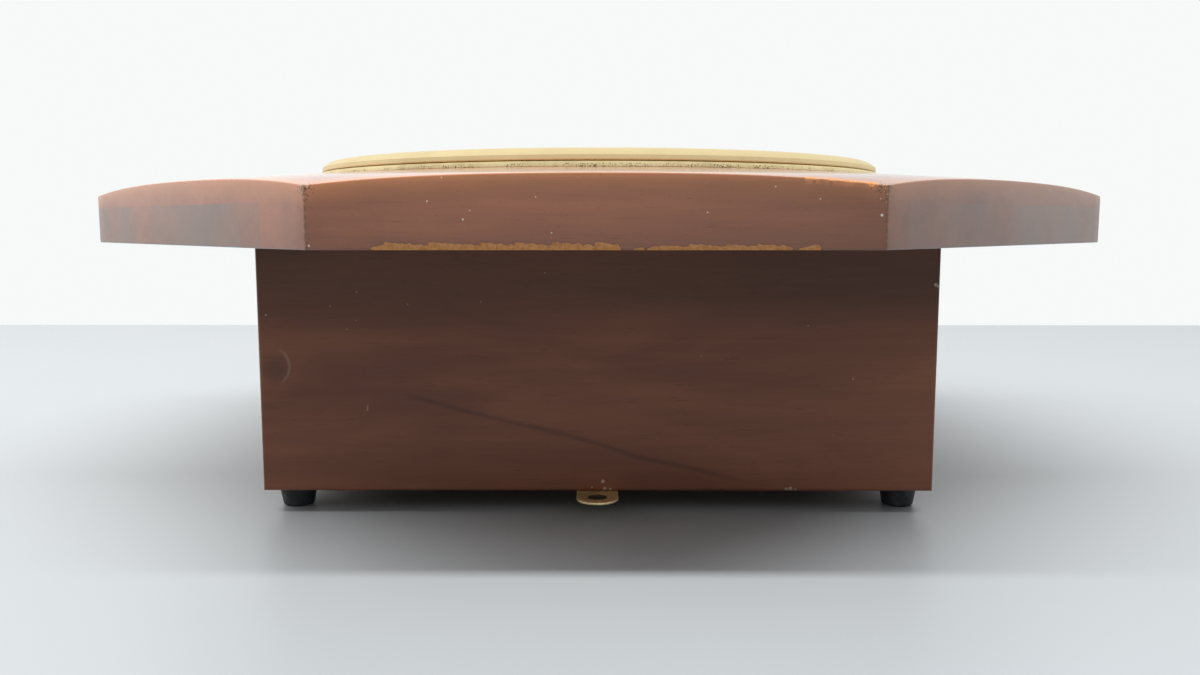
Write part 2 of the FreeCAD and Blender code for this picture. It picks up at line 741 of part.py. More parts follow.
def cylinder_bearing(side, drills):
    """An upright with a bore for the cylinder arbor; its foot goes inwards, under the cylinder."""
    inner, outer = side * d.bearing_inner, side * (d.bearing_inner + d.bearing_thickness)
    low, high = (outer, inner) if side < 0 else (inner, outer)
    toe = side * (d.bearing_inner - 7)
    sole_low, sole_high = (outer, toe) if side < 0 else (toe, outer)
    upright = box((low, d.cylinder_back - bearing_half, bedplate_top),
                  (high, d.cylinder_back + bearing_half, d.axis_height))
    crown = along_x(low, d.cylinder_back, d.axis_height, bearing_half, d.bearing_thickness)
    sole = box((sole_low, d.cylinder_back - bearing_sole_half, bedplate_top),
               (sole_high, d.cylinder_back + bearing_sole_half, foot_top))
    bore = along_x(low, d.cylinder_back, d.axis_height,
                   d.cylinder_arbor_radius + d.running_fit, d.bearing_thickness)
    return cut(fuse(upright, crown, sole), bore, *drills)


piece("cylinder_bearings", group(cylinder_bearing(-1, bearing_pilots[:2]),
                                 cylinder_bearing(1, bearing_pilots[2:])))

# ---------------------------------------------------------------- gears


def gear_outline(teeth, module, phase):
    """The closed wire of an involute gear with short teeth; phase turns it, in whole teeth."""
    pressure = math.radians(20)
    pitch = module * teeth / 2
    tip, root, base = pitch + 0.8 * module, pitch - 1.1 * module, pitch * math.cos(pressure)
    flank_start = max(root, base)
    tooth_width = module * (math.pi / 2 - 0.12)

    def half_angle(radius):
        roll = math.acos(min(1, base / radius))
        return tooth_width / (2 * pitch) + math.tan(pressure) - pressure - math.tan(roll) + roll

    def point(radius, angle):
        return FreeCAD.Vector(radius * math.cos(angle), radius * math.sin(angle), 0)

    middle = (flank_start + tip) / 2
    edges = []
    last = None
    for tooth in range(teeth):
        centre = (tooth + phase) * 2 * math.pi / teeth
        rising = [point(r, centre - half_angle(r)) for r in (flank_start, middle, tip)]
        falling = [point(r, centre + half_angle(r)) for r in (tip, middle, flank_start)]
        foot = [point(root, centre + s * half_angle(flank_start)) for s in SIDES]
        if last is not None:
            edges.append(Part.makeLine(last, foot[0]))
        if root < flank_start:
            edges.append(Part.makeLine(foot[0], rising[0]))
        edges.append(Part.Arc(*rising).toShape())
        edges.append(Part.makeLine(rising[-1], falling[0]))
        edges.append(Part.Arc(*falling).toShape())
        if root < flank_start:
            edges.append(Part.makeLine(falling[-1], foot[1]))
        last = foot[1]
    edges.append(Part.makeLine(last, edges[0].Vertexes[0].Point))
    return Part.Wire(edges)


def gear(teeth, module, width, position, phase=0.0):
    """A gear cut along its own Z, then turned so that its axis runs along the frame's X."""
    obj = doc.addObject("Part::Feature", "Gear")
    blank = Part.Face(gear_outline(int(teeth), float(module), phase))
    obj.Shape = blank.extrude(FreeCAD.Vector(0, 0, float(width)))
    return place(obj, position, ALONG_X)


# ---------------------------------------------------------------- spring motor

axis_z = d.axis_height
wheel_right = d.barrel_wheel_left + d.train_wheel_width
barrel_length = wheel_right - d.barrel_left
drum = along_x(d.barrel_left, d.barrel_back, axis_z, d.barrel_radius, barrel_length - d.train_wheel_width)
great_wheel = gear(d.barrel_teeth, d.motor_module, d.train_wheel_width,
                   (d.barrel_wheel_left, d.barrel_back, axis_z))
cavity_radius = d.barrel_radius - d.barrel_wall
cavity_length = barrel_length - d.train_wheel_width - d.barrel_wall
cavity = along_x(d.barrel_left, d.barrel_back, axis_z, cavity_radius, cavity_length)
arbor_fit = d.winding_arbor_radius + d.running_fit
piece("spring_barrel", cut(fuse(drum, great_wheel), cavity,
                           along_x(d.barrel_left, d.barrel_back, axis_z, arbor_fit, barrel_length)))
cover_thickness = 1.5
piece("barrel_cover", cut(along_x(d.barrel_left, d.barrel_back, axis_z, cavity_radius, cover_thickness),
                          along_x(d.barrel_left, d.barrel_back, axis_z, arbor_fit, cover_thickness)))


def mainspring(position, inner_radius, width):
    """A coiled steel strip: two spirals of half circles, joined at their ends."""
    pitch = float(d.spring_pitch)

    def spiral(radius):
        edges = []
        for i in range(int(d.spring_half_turns)):
            side = 1 if i % 2 == 0 else -1
            start, end = radius + i * pitch / 2, radius + (i + 1) * pitch / 2
            middle = FreeCAD.Vector(side * (start - end) / 2, side * (start + end) / 2, 0)
            edges.append(Part.Arc(FreeCAD.Vector(side * start, 0, 0), middle,
                                  FreeCAD.Vector(-side * end, 0, 0)).toShape())
        return edges

    inner, outer = spiral(inner_radius), spiral(inner_radius + float(d.spring_strip))
    closing = [Part.makeLine(inner[i].Vertexes[i].Point, outer[i].Vertexes[i].Point) for i in (0, -1)]
    ribbon = Part.Face(Part.Wire(Part.__sortEdges__(inner + outer + closing)))
    obj = doc.addObject("Part::Feature", "Ribbon")
    obj.Shape = ribbon.extrude(FreeCAD.Vector(0, 0, float(width)))
    return place(obj, position, ALONG_X)


spring_place = (d.barrel_left + d.spring_margin, d.barrel_back, axis_z)
spring_inner_radius = float(d.winding_arbor_radius) + 0.5
piece("mainspring", mainspring(spring_place, spring_inner_radius, cavity_length - d.spring_margin - 0.6))

arbor_left = d.key_left + 2
arbor_right = d.right_bridge_place + d.bridge_thickness + 0.8
piece("winding_arbor", along_x(arbor_left, d.barrel_back, axis_z, d.winding_arbor_radius,
                               arbor_right - arbor_left))
bush_hole = along_x(-case_half - d.key_bush_flange, d.barrel_back, axis_z, arbor_fit,
                    d.wall + d.key_bush_flange)
piece("key_bush", cut(fuse(
    along_x(-case_half, d.barrel_back, axis_z, d.key_bush_radius, d.wall),
    along_x(-case_half - d.key_bush_flange, d.barrel_back, axis_z,
            d.key_bush_flange_radius, d.key_bush_flange)), bush_hole))


def ratchet_blank(teeth, radius, root):
    """Saw teeth: each rises along a slope and drops along a radius."""
    points = []
    for tooth in range(teeth):
        angle = tooth * 2 * math.pi / teeth
        for reach in (root, radius):
            points.append(FreeCAD.Vector(reach * math.cos(angle), reach * math.sin(angle), 0))
    return Part.Face(Part.makePolygon(points + points[:1]))


saw_teeth = ratchet_blank(int(d.ratchet_teeth), float(d.ratchet_radius), float(d.ratchet_root_radius))
ratchet = doc.addObject("Part::Feature", "Ratchet")
ratchet.Shape = saw_teeth.extrude(FreeCAD.Vector(0, 0, float(d.ratchet_width)))
place(ratchet, (d.ratchet_left, d.barrel_back, axis_z), ALONG_X)
piece("ratchet_wheel", cut(ratchet, along_x(d.ratchet_left, d.barrel_back, axis_z,
                                            d.winding_arbor_radius, d.ratchet_width)))

lobe_middle = d.key_left - 7.5
lobe_front = d.barrel_back - d.key_thickness / 2
hole_spread = d.key_lobe_spread + 0.6
key_web_half = 5.0
lobes = [cylinder((lobe_middle, lobe_front, axis_z + side * d.key_lobe_spread), d.key_lobe_radius,
                  d.key_thickness, ALONG_Y) for side in SIDES]
lobe_holes = [cylinder((lobe_middle, lobe_front, axis_z + side * hole_spread), d.key_lobe_hole,
                       d.key_thickness, ALONG_Y) for side in SIDES]
key_web = box((lobe_middle - 3, lobe_front, axis_z - key_web_half),
              (d.key_left + 4, lobe_front + d.key_thickness, axis_z + key_web_half))
key_socket = along_x(d.key_left, d.barrel_back, axis_z, d.key_socket_radius, d.key_socket_length)
key_bore = along_x(arbor_left, d.barrel_back, axis_z, d.winding_arbor_radius, d.key_socket_length)
piece("winding_key", cut(fuse(*lobes, key_web, key_socket), *lobe_holes, key_bore))

# The click's beak is held just clear of the saw teeth, so the ratchet can turn by itself.
click_bore = click_screw["shank"] + float(d.running_fit)
click_boss_radius = 2.8
click_arm = [(5.0, 15.0), (-2.9, 11.2), (-2.41, 8.98), (5.0, 10.4)]
arm = plate(click_arm, d.ratchet_width, (d.ratchet_left, d.barrel_back, axis_z), ALONG_X)
boss = along_x(d.ratchet_left, click_back, click_up, click_boss_radius, d.ratchet_width)
click_eye = along_x(d.ratchet_left, click_back, click_up, click_bore, d.ratchet_width)
piece("click", cut(fuse(arm, boss), click_eye))
piece("click_screw", screws([(click_screw_face, click_back, click_up)], *click_screw.values(),
                            rotation=INTO_BRIDGE))
anchor_x, anchor_y, anchor_z = spring_anchor
spring_block_half = 2.4
leaf_low = (anchor_x, anchor_y, anchor_z - 1.5)
leaf_high = (anchor_x + 1.8, anchor_y + 11, anchor_z - 1.0)
spring_block = box((anchor_x, anchor_y - spring_block_half, anchor_z - spring_block_half),
                   (d.left_bridge_place, anchor_y + spring_block_half, anchor_z + spring_block_half))
spring_bore = along_x(anchor_x, anchor_y, anchor_z, spring_screw["shank"], d.left_bridge_place - anchor_x)
piece("click_spring", cut(fuse(box(leaf_low, leaf_high), spring_block), spring_bore))
piece("click_spring_screw", screws([spring_anchor], *spring_screw.values(), rotation=INTO_BRIDGE))

# ---------------------------------------------------------------- music cylinder and comb

tube_length = 2 * d.cylinder_half_length
cap_width = 1.5
tube = along_x(-d.cylinder_half_length, d.cylinder_back, axis_z, d.cylinder_radius, tube_length)
tube_hollow = along_x(-d.cylinder_half_length + cap_width, d.cylinder_back, axis_z,
                      d.cylinder_radius - d.cylinder_wall, tube_length - 2 * cap_width)
tube_bore = along_x(-d.cylinder_half_length, d.cylinder_back, axis_z, d.cylinder_arbor_radius, tube_length)
piece("music_cylinder", cut(tube, tube_hollow, tube_bore))

cylinder_arbor_left = d.barrel_wheel_left - 0.5
cylinder_arbor_right = d.cylinder_wheel_left + d.cylinder_wheel_width + 0.5
piece("cylinder_arbor", along_x(cylinder_arbor_left, d.cylinder_back, axis_z, d.cylinder_arbor_radius,
                                cylinder_arbor_right - cylinder_arbor_left))
pinion_hole = along_x(d.barrel_wheel_left, d.cylinder_back, axis_z, d.cylinder_arbor_radius,
                      d.train_wheel_width)
piece("cylinder_pinion", cut(gear(d.pinion_teeth, d.motor_module, d.train_wheel_width,
                                  (d.barrel_wheel_left, d.cylinder_back, axis_z), phase=0.5), pinion_hole))
wheel_hole = along_x(d.cylinder_wheel_left, d.cylinder_back, axis_z, d.cylinder_arbor_radius,
                     d.cylinder_wheel_width)
piece("cylinder_wheel", cut(gear(d.cylinder_wheel_teeth, d.governor_module, d.cylinder_wheel_width,
                                 (d.cylinder_wheel_left, d.cylinder_back, axis_z)), wheel_hole))

comb_tip = d.cylinder_back - d.cylinder_radius - d.comb_tip_clearance
comb_root = comb_tip - d.comb_tooth_length
comb_heel = comb_root - d.comb_heel_length
comb_half = d.comb_pitch * d.comb_teeth / 2
comb_screw = {"head": 2.6, "head_height": 2.0, "shank": 1.5, "length": 10.0}
comb_screw_places = [(step * 13.0, comb_heel + d.comb_heel_length / 2, d.comb_height + d.comb_thickness)
                     for step in range(-2, 3)]
comb_pilots = pilots(comb_screw_places, comb_screw)

comb_body = doc.addObject("PartDesign::Body", "CombPlate")
comb_pad = comb_body.newObject("PartDesign::Pad", "CombStock")
comb_pad.Profile = outline_sketch(comb_body, "XY_Plane", [
    (-comb_half, comb_heel), (comb_half, comb_heel), (comb_half, comb_tip), (-comb_half, comb_tip)])
bind(comb_pad, "Length", d.comb_thickness)
slot_left = -comb_half + d.comb_pitch - d.comb_slot / 2
comb_slot = comb_body.newObject("PartDesign::Pocket", "FirstSlot")
comb_slot.Profile = outline_sketch(comb_body, "XY_Plane", [
    (slot_left, comb_root), (slot_left + d.comb_slot, comb_root),
    (slot_left + d.comb_slot, comb_tip + 1), (slot_left, comb_tip + 1)])
comb_slot.Type = "ThroughAll"
comb_slot.Reversed = True
comb_slots = comb_body.newObject("PartDesign::LinearPattern", "Slots")
comb_slots.Originals = [comb_slot]
comb_slots.Direction = (comb_slot.Profile[0], ["H_Axis"])
bind(comb_slots, "Length", d.comb_pitch * (d.comb_teeth - 2))
bind(comb_slots, "Occurrences", d.comb_teeth - 1)
comb_body.Tip = comb_slots
place(comb_body, (0, 0, d.comb_height))
piece("comb", cut(comb_body, *comb_pilots))
base_half = comb_half + d.comb_base_side
comb_block = box((-base_half, comb_heel - 1, bedplate_top), (base_half, comb_root - 1, d.comb_height))
piece("comb_base", cut(comb_block, *comb_pilots))
piece("comb_screws", screws(comb_screw_places, *comb_screw.values()))

# ---------------------------------------------------------------- governor

pinion_width = 4.0
arbor_start, arbor_end = d.cylinder_wheel_left - 1.5, d.frame_right + 0.5
pinion = gear(d.second_pinion_teeth, d.governor_module, pinion_width,
              (d.cylinder_wheel_left - 0.5, second_back, axis_z), phase=0.5)
piece("second_arbor", fuse(pinion, along_x(arbor_start, second_back, axis_z, d.second_arbor_radius,
                                           arbor_end - arbor_start)))
screw_wheel_hole = along_x(d.screw_wheel_left, second_back, axis_z, d.second_arbor_radius,
                           d.screw_wheel_width)
piece("screw_wheel", cut(gear(d.screw_wheel_teeth, d.screw_wheel_module, d.screw_wheel_width,
                              (d.screw_wheel_left, second_back, axis_z), phase=0.5), screw_wheel_hole))

shaft_bottom = bedplate_top - pivot_depth + 0.2
shaft_top = d.frame_top - 0.5
screw_half_length = 6.0
shaft = cylinder((governor_right, governor_back, shaft_bottom), d.governor_shaft_radius,
                 shaft_top - shaft_bottom)
screw_core = cylinder((governor_right, governor_back, axis_z - screw_half_length), d.screw_core_radius,
                      2 * screw_half_length)
piece("endless_screw", fuse(shaft, screw_core))
fly_half = d.fly_thickness / 2
fly_blade = box((governor_right - d.fly_radius, governor_back - fly_half, d.fly_bottom),
                (governor_right + d.fly_radius, governor_back + fly_half, d.fly_bottom + d.fly_height))
fly_hub_radius = 1.8
fly_hub = cylinder((governor_right, governor_back, d.fly_bottom), fly_hub_radius, d.fly_height)
fly_bore = cylinder((governor_right, governor_back, d.fly_bottom), d.governor_shaft_radius, d.fly_height)
piece("governor_fly", cut(fuse(fly_blade, fly_hub), fly_bore))


def cheek(left):
    return box((left, d.frame_cheek_front, bedplate_top),
               (left + d.frame_cheek, d.frame_back, d.frame_cheek_top))


back_front = d.frame_back - 3
arm_bottom = d.frame_top - 3
arm_half = 3.5
governor_casting = fuse(
    cheek(d.frame_left),
    cheek(d.frame_right - d.frame_cheek),
    box((d.frame_left, back_front, bedplate_top), (d.frame_right, d.frame_back, d.frame_top)),
    box((governor_right - arm_half, governor_back - arm_half, arm_bottom),
        (governor_right + arm_half, d.frame_back, d.frame_top)),
    box((d.frame_left, back_front, bedplate_top), (d.frame_right, d.frame_back + 10, foot_top)),
)
second_bore = along_x(d.frame_left, second_back, axis_z, d.second_arbor_radius + d.running_fit,
                      d.frame_right - d.frame_left)
governor_bore = cylinder((governor_right, governor_back, arm_bottom),
                         d.governor_shaft_radius + d.running_fit, d.frame_top - arm_bottom)
piece("governor_frame", cut(governor_casting, second_bore, governor_bore, *frame_pilots))

# ---------------------------------------------------------------- stop lever

lever_top = d.lever_height + d.lever_thickness
lever_screw = {"head": 3.0, "head_height": 1.4, "shank": 1.5, "length": 11.0}
lever_play = 0.1
lever_post_radius = 2.6
lever_screw_place = (d.lever_pivot_right, d.lever_pivot_back, lever_top + lever_play)
post = cylinder((d.lever_pivot_right, d.lever_pivot_back, bedplate_top), lever_post_radius,
                d.lever_height - lever_play - bedplate_top)
post_pilot = holes([lever_screw_place], lever_screw["shank"], lever_screw["length"], DOWN)
piece("stop_lever_post", cut(post, *post_pilot))
piece("stop_lever_screw", screws([lever_screw_place], *lever_screw.values()))


def lever_arm(reach, angle, half_width):
    """A straight bar with a round end, from the pivot outwards."""
    bar = box((0, -half_width, 0), (reach, half_width, d.lever_thickness))
    end = cylinder((reach, 0, 0), half_width, d.lever_thickness)
    arm = fuse(bar, end)
    return place(arm, (d.lever_pivot_right, d.lever_pivot_back, d.lever_height),
                 FreeCAD.Rotation(FreeCAD.Vector(0, 0, 1), angle))


stop_reach, stop_angle = 18.7, 145.9
knob_reach, knob_angle = 20.1, 264.3
knob_arm_half = 2.2
lever_boss = cylinder((d.lever_pivot_right, d.lever_pivot_back, d.lever_height), d.lever_boss_radius,
                      d.lever_thickness)
lever_bore = cylinder((d.lever_pivot_right, d.lever_pivot_back, d.lever_height),
                      lever_screw["shank"] + float(d.running_fit), d.lever_thickness)
piece("stop_lever", cut(fuse(lever_boss, lever_arm(stop_reach, stop_angle, d.lever_tip_radius),
                             lever_arm(knob_reach, knob_angle, knob_arm_half)), lever_bore))
knob_right = d.lever_pivot_right + knob_reach * math.cos(math.radians(knob_angle))
knob_back = d.lever_pivot_back + knob_reach * math.sin(math.radians(knob_angle))
piece("stop_lever_knob", turned([
    (0, 0), (1.2, 0), (1.2, 4.6), (3.0, 6.2), (3.0, 8.4), (2.2, 9.4), (0, 9.4),
], (knob_right, knob_back, lever_top)))

# ---------------------------------------------------------------- check and write


def write_pieces():
    doc.recompute()
    for obj in doc.Objects:
        if {"Invalid", "Error"} & set(obj.State):
            raise RuntimeError(f"{obj.Name} ({obj.Label}) did not compute: {obj.State}")
    os.makedirs("parts", exist_ok=True)
    for obj in pieces:
        shape = obj.Shape
        if shape.isNull() or not shape.isValid() or shape.Volume <= 0:
            raise RuntimeError(f"{obj.Label} has no sound solid")
        shape.exportStep(f"parts/{obj.Label}.step")
        print(f"{obj.Label}: {len(shape.Solids)} solid(s), {shape.Volume:.1f} mm3")


write_pieces()
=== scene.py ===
import json
import math
import random

import bmesh
import bpy
from mathutils import Matrix, Vector, noise


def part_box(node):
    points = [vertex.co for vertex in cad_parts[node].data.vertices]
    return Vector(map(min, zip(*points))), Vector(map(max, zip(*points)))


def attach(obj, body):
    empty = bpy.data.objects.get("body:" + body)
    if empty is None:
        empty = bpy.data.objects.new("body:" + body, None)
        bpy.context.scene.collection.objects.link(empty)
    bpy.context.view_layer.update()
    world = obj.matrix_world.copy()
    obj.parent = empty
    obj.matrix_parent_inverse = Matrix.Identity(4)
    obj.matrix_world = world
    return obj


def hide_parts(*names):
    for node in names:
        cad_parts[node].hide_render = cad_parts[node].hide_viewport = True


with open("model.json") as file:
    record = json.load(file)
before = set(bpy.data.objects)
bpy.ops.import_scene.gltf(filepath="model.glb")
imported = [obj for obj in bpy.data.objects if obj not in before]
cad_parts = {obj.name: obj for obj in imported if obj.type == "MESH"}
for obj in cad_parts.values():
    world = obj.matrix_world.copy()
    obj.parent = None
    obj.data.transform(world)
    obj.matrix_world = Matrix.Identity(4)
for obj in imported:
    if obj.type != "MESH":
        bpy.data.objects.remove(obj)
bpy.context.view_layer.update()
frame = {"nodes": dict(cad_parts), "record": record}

bl_info = {
    "name": "Wind-Up Music Box",
    "version": (1, 0, 0),
    "blender": (4, 5, 0),
    "location": "3D View > Sidebar > Music Box",
    "description": "Dresses the frame of a wooden wind-up music box with its turned top, brass and movement",
    "category": "Object",
}

MM = 0.001
BOARD_LOW, BOARD_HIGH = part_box("top_board")
PANEL_LOW, PANEL_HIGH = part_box("front_panel")
BEZEL_LOW, BEZEL_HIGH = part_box("bezel_ring")
BASE_RING_LOW, BASE_RING_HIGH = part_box("bezel_base_ring")
GLASS_LOW, GLASS_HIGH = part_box("bezel_glass")
CYLINDER_LOW, CYLINDER_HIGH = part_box("music_cylinder")
STRAP_LOW, STRAP_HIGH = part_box("hanging_plate")
KEY_LOW, KEY_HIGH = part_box("winding_key")
SCREW_LOW, SCREW_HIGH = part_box("endless_screw")
FEET_LOW, FEET_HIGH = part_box("rubber_feet")
BOARD_HALF = (BOARD_HIGH.x - BOARD_LOW.x) / 2
SEAT_HEIGHT = BOARD_HIGH.z - BOARD_LOW.z
OCTAGON_SIDES = 8
FOOT_RADIUS = 5.5 * MM
STRAP_HALF = (STRAP_HIGH.x - STRAP_LOW.x) / 2
STRAP_EYE = (0.0, STRAP_LOW.y + STRAP_HALF, (STRAP_LOW.z + STRAP_HIGH.z) / 2)
FRONT_CORNER = BOARD_HALF * math.tan(math.pi / OCTAGON_SIDES)
WALL_WHITE = (0.925, 0.950, 0.935, 1)


# ---------------------------------------------------------------- settings


class BoardSettings(bpy.types.PropertyGroup):
    window_radius: bpy.props.FloatProperty(
        name="Window radius", description="Radius of the round window in the top board",
        default=78 * MM, unit="LENGTH")
    seat_radius: bpy.props.FloatProperty(
        name="Seat radius", description="Radius of the flat seat that the brass base ring stands on",
        default=98.6 * MM, unit="LENGTH")
    shoulder_radius: bpy.props.FloatProperty(
        name="Shoulder radius", description="Where the straight slope of the turned top ends",
        default=150 * MM, unit="LENGTH")
    shoulder_height: bpy.props.FloatProperty(
        name="Shoulder height", description="Height of the shoulder above the underside",
        default=17.05 * MM, unit="LENGTH")
    rim_curve: bpy.props.FloatProperty(
        name="Rim curve", description="Radius of the roll-over from the shoulder to the corners",
        default=66 * MM, unit="LENGTH")
    rim_height: bpy.props.FloatProperty(
        name="Rim height", description="Height of the turned surface just outside the corners",
        default=13.9 * MM, unit="LENGTH")
    edge_round: bpy.props.FloatProperty(
        name="Edge rounding", description="Radius of the eased edges of the board",
        default=0.35 * MM, unit="LENGTH")
    chip_height: bpy.props.FloatProperty(
        name="Chip height", description="Height of the longest splintered chip along the front edge",
        default=2.0 * MM, unit="LENGTH")
    chip_depth: bpy.props.FloatProperty(
        name="Chip depth", description="Depth of the splintered chips at the underside",
        default=0.8 * MM, unit="LENGTH")


class FinishSettings(bpy.types.PropertyGroup):
    stain_dark: bpy.props.FloatVectorProperty(
        name="Dark stain", description="Stain in the dark growth rings", subtype="COLOR", size=4,
        min=0, max=1, default=(0.115, 0.040, 0.022, 1))
    stain_light: bpy.props.FloatVectorProperty(
        name="Light stain", description="Stain in the light growth rings", subtype="COLOR", size=4,
        min=0, max=1, default=(0.240, 0.088, 0.045, 1))
    # Painted light: the lighter orange laid along the upper edges of the turned top.
    edge_light_colour: bpy.props.FloatVectorProperty(
        name="Rubbed stain", description="Stain worn thin along handled edges", subtype="COLOR", size=4,
        min=0, max=1, default=(0.520, 0.205, 0.080, 1))
    bare_wood: bpy.props.FloatVectorProperty(
        name="Bare wood", description="Unstained wood inside a fresh chip", subtype="COLOR", size=4,
        min=0, max=1, default=(0.58, 0.27, 0.10, 1))
    brass: bpy.props.FloatVectorProperty(
        name="Brass", description="Clean polished brass", subtype="COLOR", size=4,
        min=0, max=1, default=(0.93, 0.78, 0.45, 1))
    tarnish: bpy.props.FloatVectorProperty(
        name="Tarnish", description="Brown tarnish on old brass", subtype="COLOR", size=4,
        min=0, max=1, default=(0.30, 0.20, 0.08, 1))


class StageSettings(bpy.types.PropertyGroup):
    table_colour: bpy.props.FloatVectorProperty(
        name="Table", description="Colour of the pale table", subtype="COLOR", size=4,
        min=0, max=1, default=(0.335, 0.364, 0.385, 1))
    table_back: bpy.props.FloatProperty(
        name="Table back edge", description="Distance from the box to the table's back edge",
        default=0.432, unit="LENGTH")
    camera_distance: bpy.props.FloatProperty(
        name="Camera distance", description="Distance of the camera in front of the box's middle",
        default=0.3715, unit="LENGTH")
    camera_height: bpy.props.FloatProperty(
        name="Camera height", description="Height of the camera above the table",
        default=0.0815, unit="LENGTH")
    camera_pitch: bpy.props.FloatProperty(
        name="Camera pitch", description="How far the camera looks down", default=math.radians(6.5),
        unit="ROTATION")
    lens: bpy.props.FloatProperty(
        name="Lens", description="Focal length of the camera in millimetres", default=30.13)
    lamp_power: bpy.props.FloatProperty(
        name="Ceiling lamp", description="Power of the long ceiling lamp", default=44.0, unit="POWER")
    side_power: bpy.props.FloatProperty(
        name="Side light", description="Power of the soft light from the left", default=3.0, unit="POWER")


# ---------------------------------------------------------------- mesh helpers


def placed(name, data):
    """A new object, linked into the scene."""
    obj = bpy.data.objects.new(name, data)
    bpy.context.scene.collection.objects.link(obj)
    return obj


def baked(obj):
    """The object's mesh with its curves and modifiers applied."""
    bpy.context.view_layer.update()
    return bpy.data.meshes.new_from_object(obj.evaluated_get(bpy.context.evaluated_depsgraph_get()))


def new_piece(name, mesh, material, body, replaced=(), smooth=True):
    """Links a finished mesh, gives it its finish and lets it ride on its body."""
    obj = placed(name, mesh)
    if smooth:
        mesh.polygons.foreach_set("use_smooth", [True] * len(mesh.polygons))
    mesh.materials.append(material)
    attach(obj, body)
    if replaced:
        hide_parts(*replaced)
    return obj


def finished_mesh(name, shape):
    """Closes off a bmesh into a mesh with its normals facing out."""
    bmesh.ops.recalc_face_normals(shape, faces=shape.faces)
    mesh = bpy.data.meshes.new(name)
    shape.to_mesh(mesh)
    shape.free()
    return mesh


def mark_sharp(mesh, degrees=40):
    """Keeps the creases of a smooth mesh crisp."""
    mesh.set_sharp_from_angle(angle=math.radians(degrees))


def bridge(shape, lower, upper):
    """Joins two closed rings of the same number of vertices."""
    for i in range(len(lower)):
        following = (i + 1) % len(lower)
        shape.faces.new((lower[i], lower[following], upper[following], upper[i]))


def lathe(shape, profile, steps, turn=Matrix.Identity(4)):
    """Turns a closed profile of (radius, height) about Z; a zero radius becomes one shared point."""
    rings = []
    for radius, height in profile:
        if radius == 0:
            rings.append([shape.verts.new(turn @ Vector((0, 0, height)))])
            continue
        angles = [2 * math.pi * i / steps for i in range(steps)]
        rings.append([shape.verts.new(turn @ Vector((radius * math.cos(a), radius * math.sin(a), height)))
                      for a in angles])
    for lower, upper in zip(rings, rings[1:] + rings[:1]):
        if len(lower) == 1 and len(upper) == 1:
            continue
        if len(lower) == 1 or len(upper) == 1:
            point, ring = (lower[0], upper) if len(lower) == 1 else (upper[0], lower)
            for i in range(steps):
                shape.faces.new((point, ring[i], ring[(i + 1) % steps]))
        else:
            bridge(shape, lower, upper)


def arc_points(start, end, bulge, steps):
    """Points of an arc between two profile points, bulging to the right of the way by that much."""
    start, end = Vector(start), Vector(end)
    half = (end - start) / 2
    right = Vector((half.y, -half.x)).normalized()
    points = []
    for i in range(steps + 1):
        t = 2 * i / steps - 1
        points.append(start + half * (t + 1) + right * bulge * (1 - t * t))
    return [tuple(p) for p in points]


def flat_outline(name, loops, thickness, bevel):
    """A mesh cut from flat stock: loops are closed lists of points, the first outside, the rest holes."""
    curve = bpy.data.curves.new(name, "CURVE")
    curve.dimensions = "2D"
    curve.fill_mode = "BOTH"
    curve.extrude = thickness / 2 - bevel
    curve.bevel_depth = bevel
    curve.bevel_resolution = 3
    curve.offset = -bevel
    for loop in loops:
        spline = curve.splines.new("POLY")
        spline.points.add(len(loop) - 1)
        spline.use_cyclic_u = True
        for point, (x, y) in zip(spline.points, loop):
            point.co = (x, y, 0, 1)
    holder = placed(name + "_outline", curve)
    mesh = baked(holder)
    bpy.data.objects.remove(holder)
    bpy.data.curves.remove(curve)
    shape = bmesh.new()
    shape.from_mesh(mesh)
    bmesh.ops.remove_doubles(shape, verts=shape.verts, dist=1e-6)
    bpy.data.meshes.remove(mesh)
    return shape


def circle_points(x, y, radius, steps, start=0.0, sweep=2 * math.pi):
    """Points round a circle, or along the part of it that the sweep covers."""
    closed = abs(sweep) > 2 * math.pi - 1e-6
    angles = [start + sweep * i / steps for i in range(steps if closed else steps + 1)]
    return [(x + radius * math.cos(a), y + radius * math.sin(a)) for a in angles]


# ---------------------------------------------------------------- node helpers


def feed(tree, node, values):
    """Sets a node's inputs; a value is plain, or the socket that the input is linked from."""
    for key, value in values.items():
        if isinstance(value, bpy.types.NodeSocket):
            tree.links.new(value, node.inputs[key])
        else:
            node.inputs[key].default_value = value


def add(tree, kind, values=None, **settings):
    """A node with its settings and inputs."""
    made = tree.nodes.new(kind)
    for key, value in settings.items():
        setattr(made, key, value)
    feed(tree, made, values or {})
    return made


def calc(tree, operation, first, second=0.5, third=0.0):
    """The result socket of a maths node."""
    return add(tree, "ShaderNodeMath", {0: first, 1: second, 2: third}, operation=operation).outputs[0]


def times(tree, first, second):
    return calc(tree, "MULTIPLY", first, second)


def between(tree, value, low, high):
    """0 below low, 1 above high, smooth in between."""
    return add(tree, "ShaderNodeMapRange", {"Value": value, "From Min": low, "From Max": high},
               interpolation_type="SMOOTHSTEP").outputs["Result"]


def mix_colour(tree, factor, first, second, blend="MIX"):
    made = add(tree, "ShaderNodeMix", data_type="RGBA", blend_type=blend)
    feed(tree, made, {0: factor, 6: first, 7: second})
    return made.outputs[2]


def tinted(tree, colour, mask, strength, paint):
    """The colour with a paint over it wherever the mask is, at that strength."""
    return mix_colour(tree, times(tree, mask, strength), colour, paint)


def noise_value(tree, vector, scale, detail=3.0, roughness=0.55, distortion=0.0):
    return add(tree, "ShaderNodeTexNoise", {"Vector": vector, "Scale": scale, "Detail": detail,
                                            "Roughness": roughness, "Distortion": distortion}).outputs["Fac"]


def stretched(tree, vector, factors):
    return add(tree, "ShaderNodeVectorMath", {0: vector, 1: factors}, operation="MULTIPLY").outputs[0]


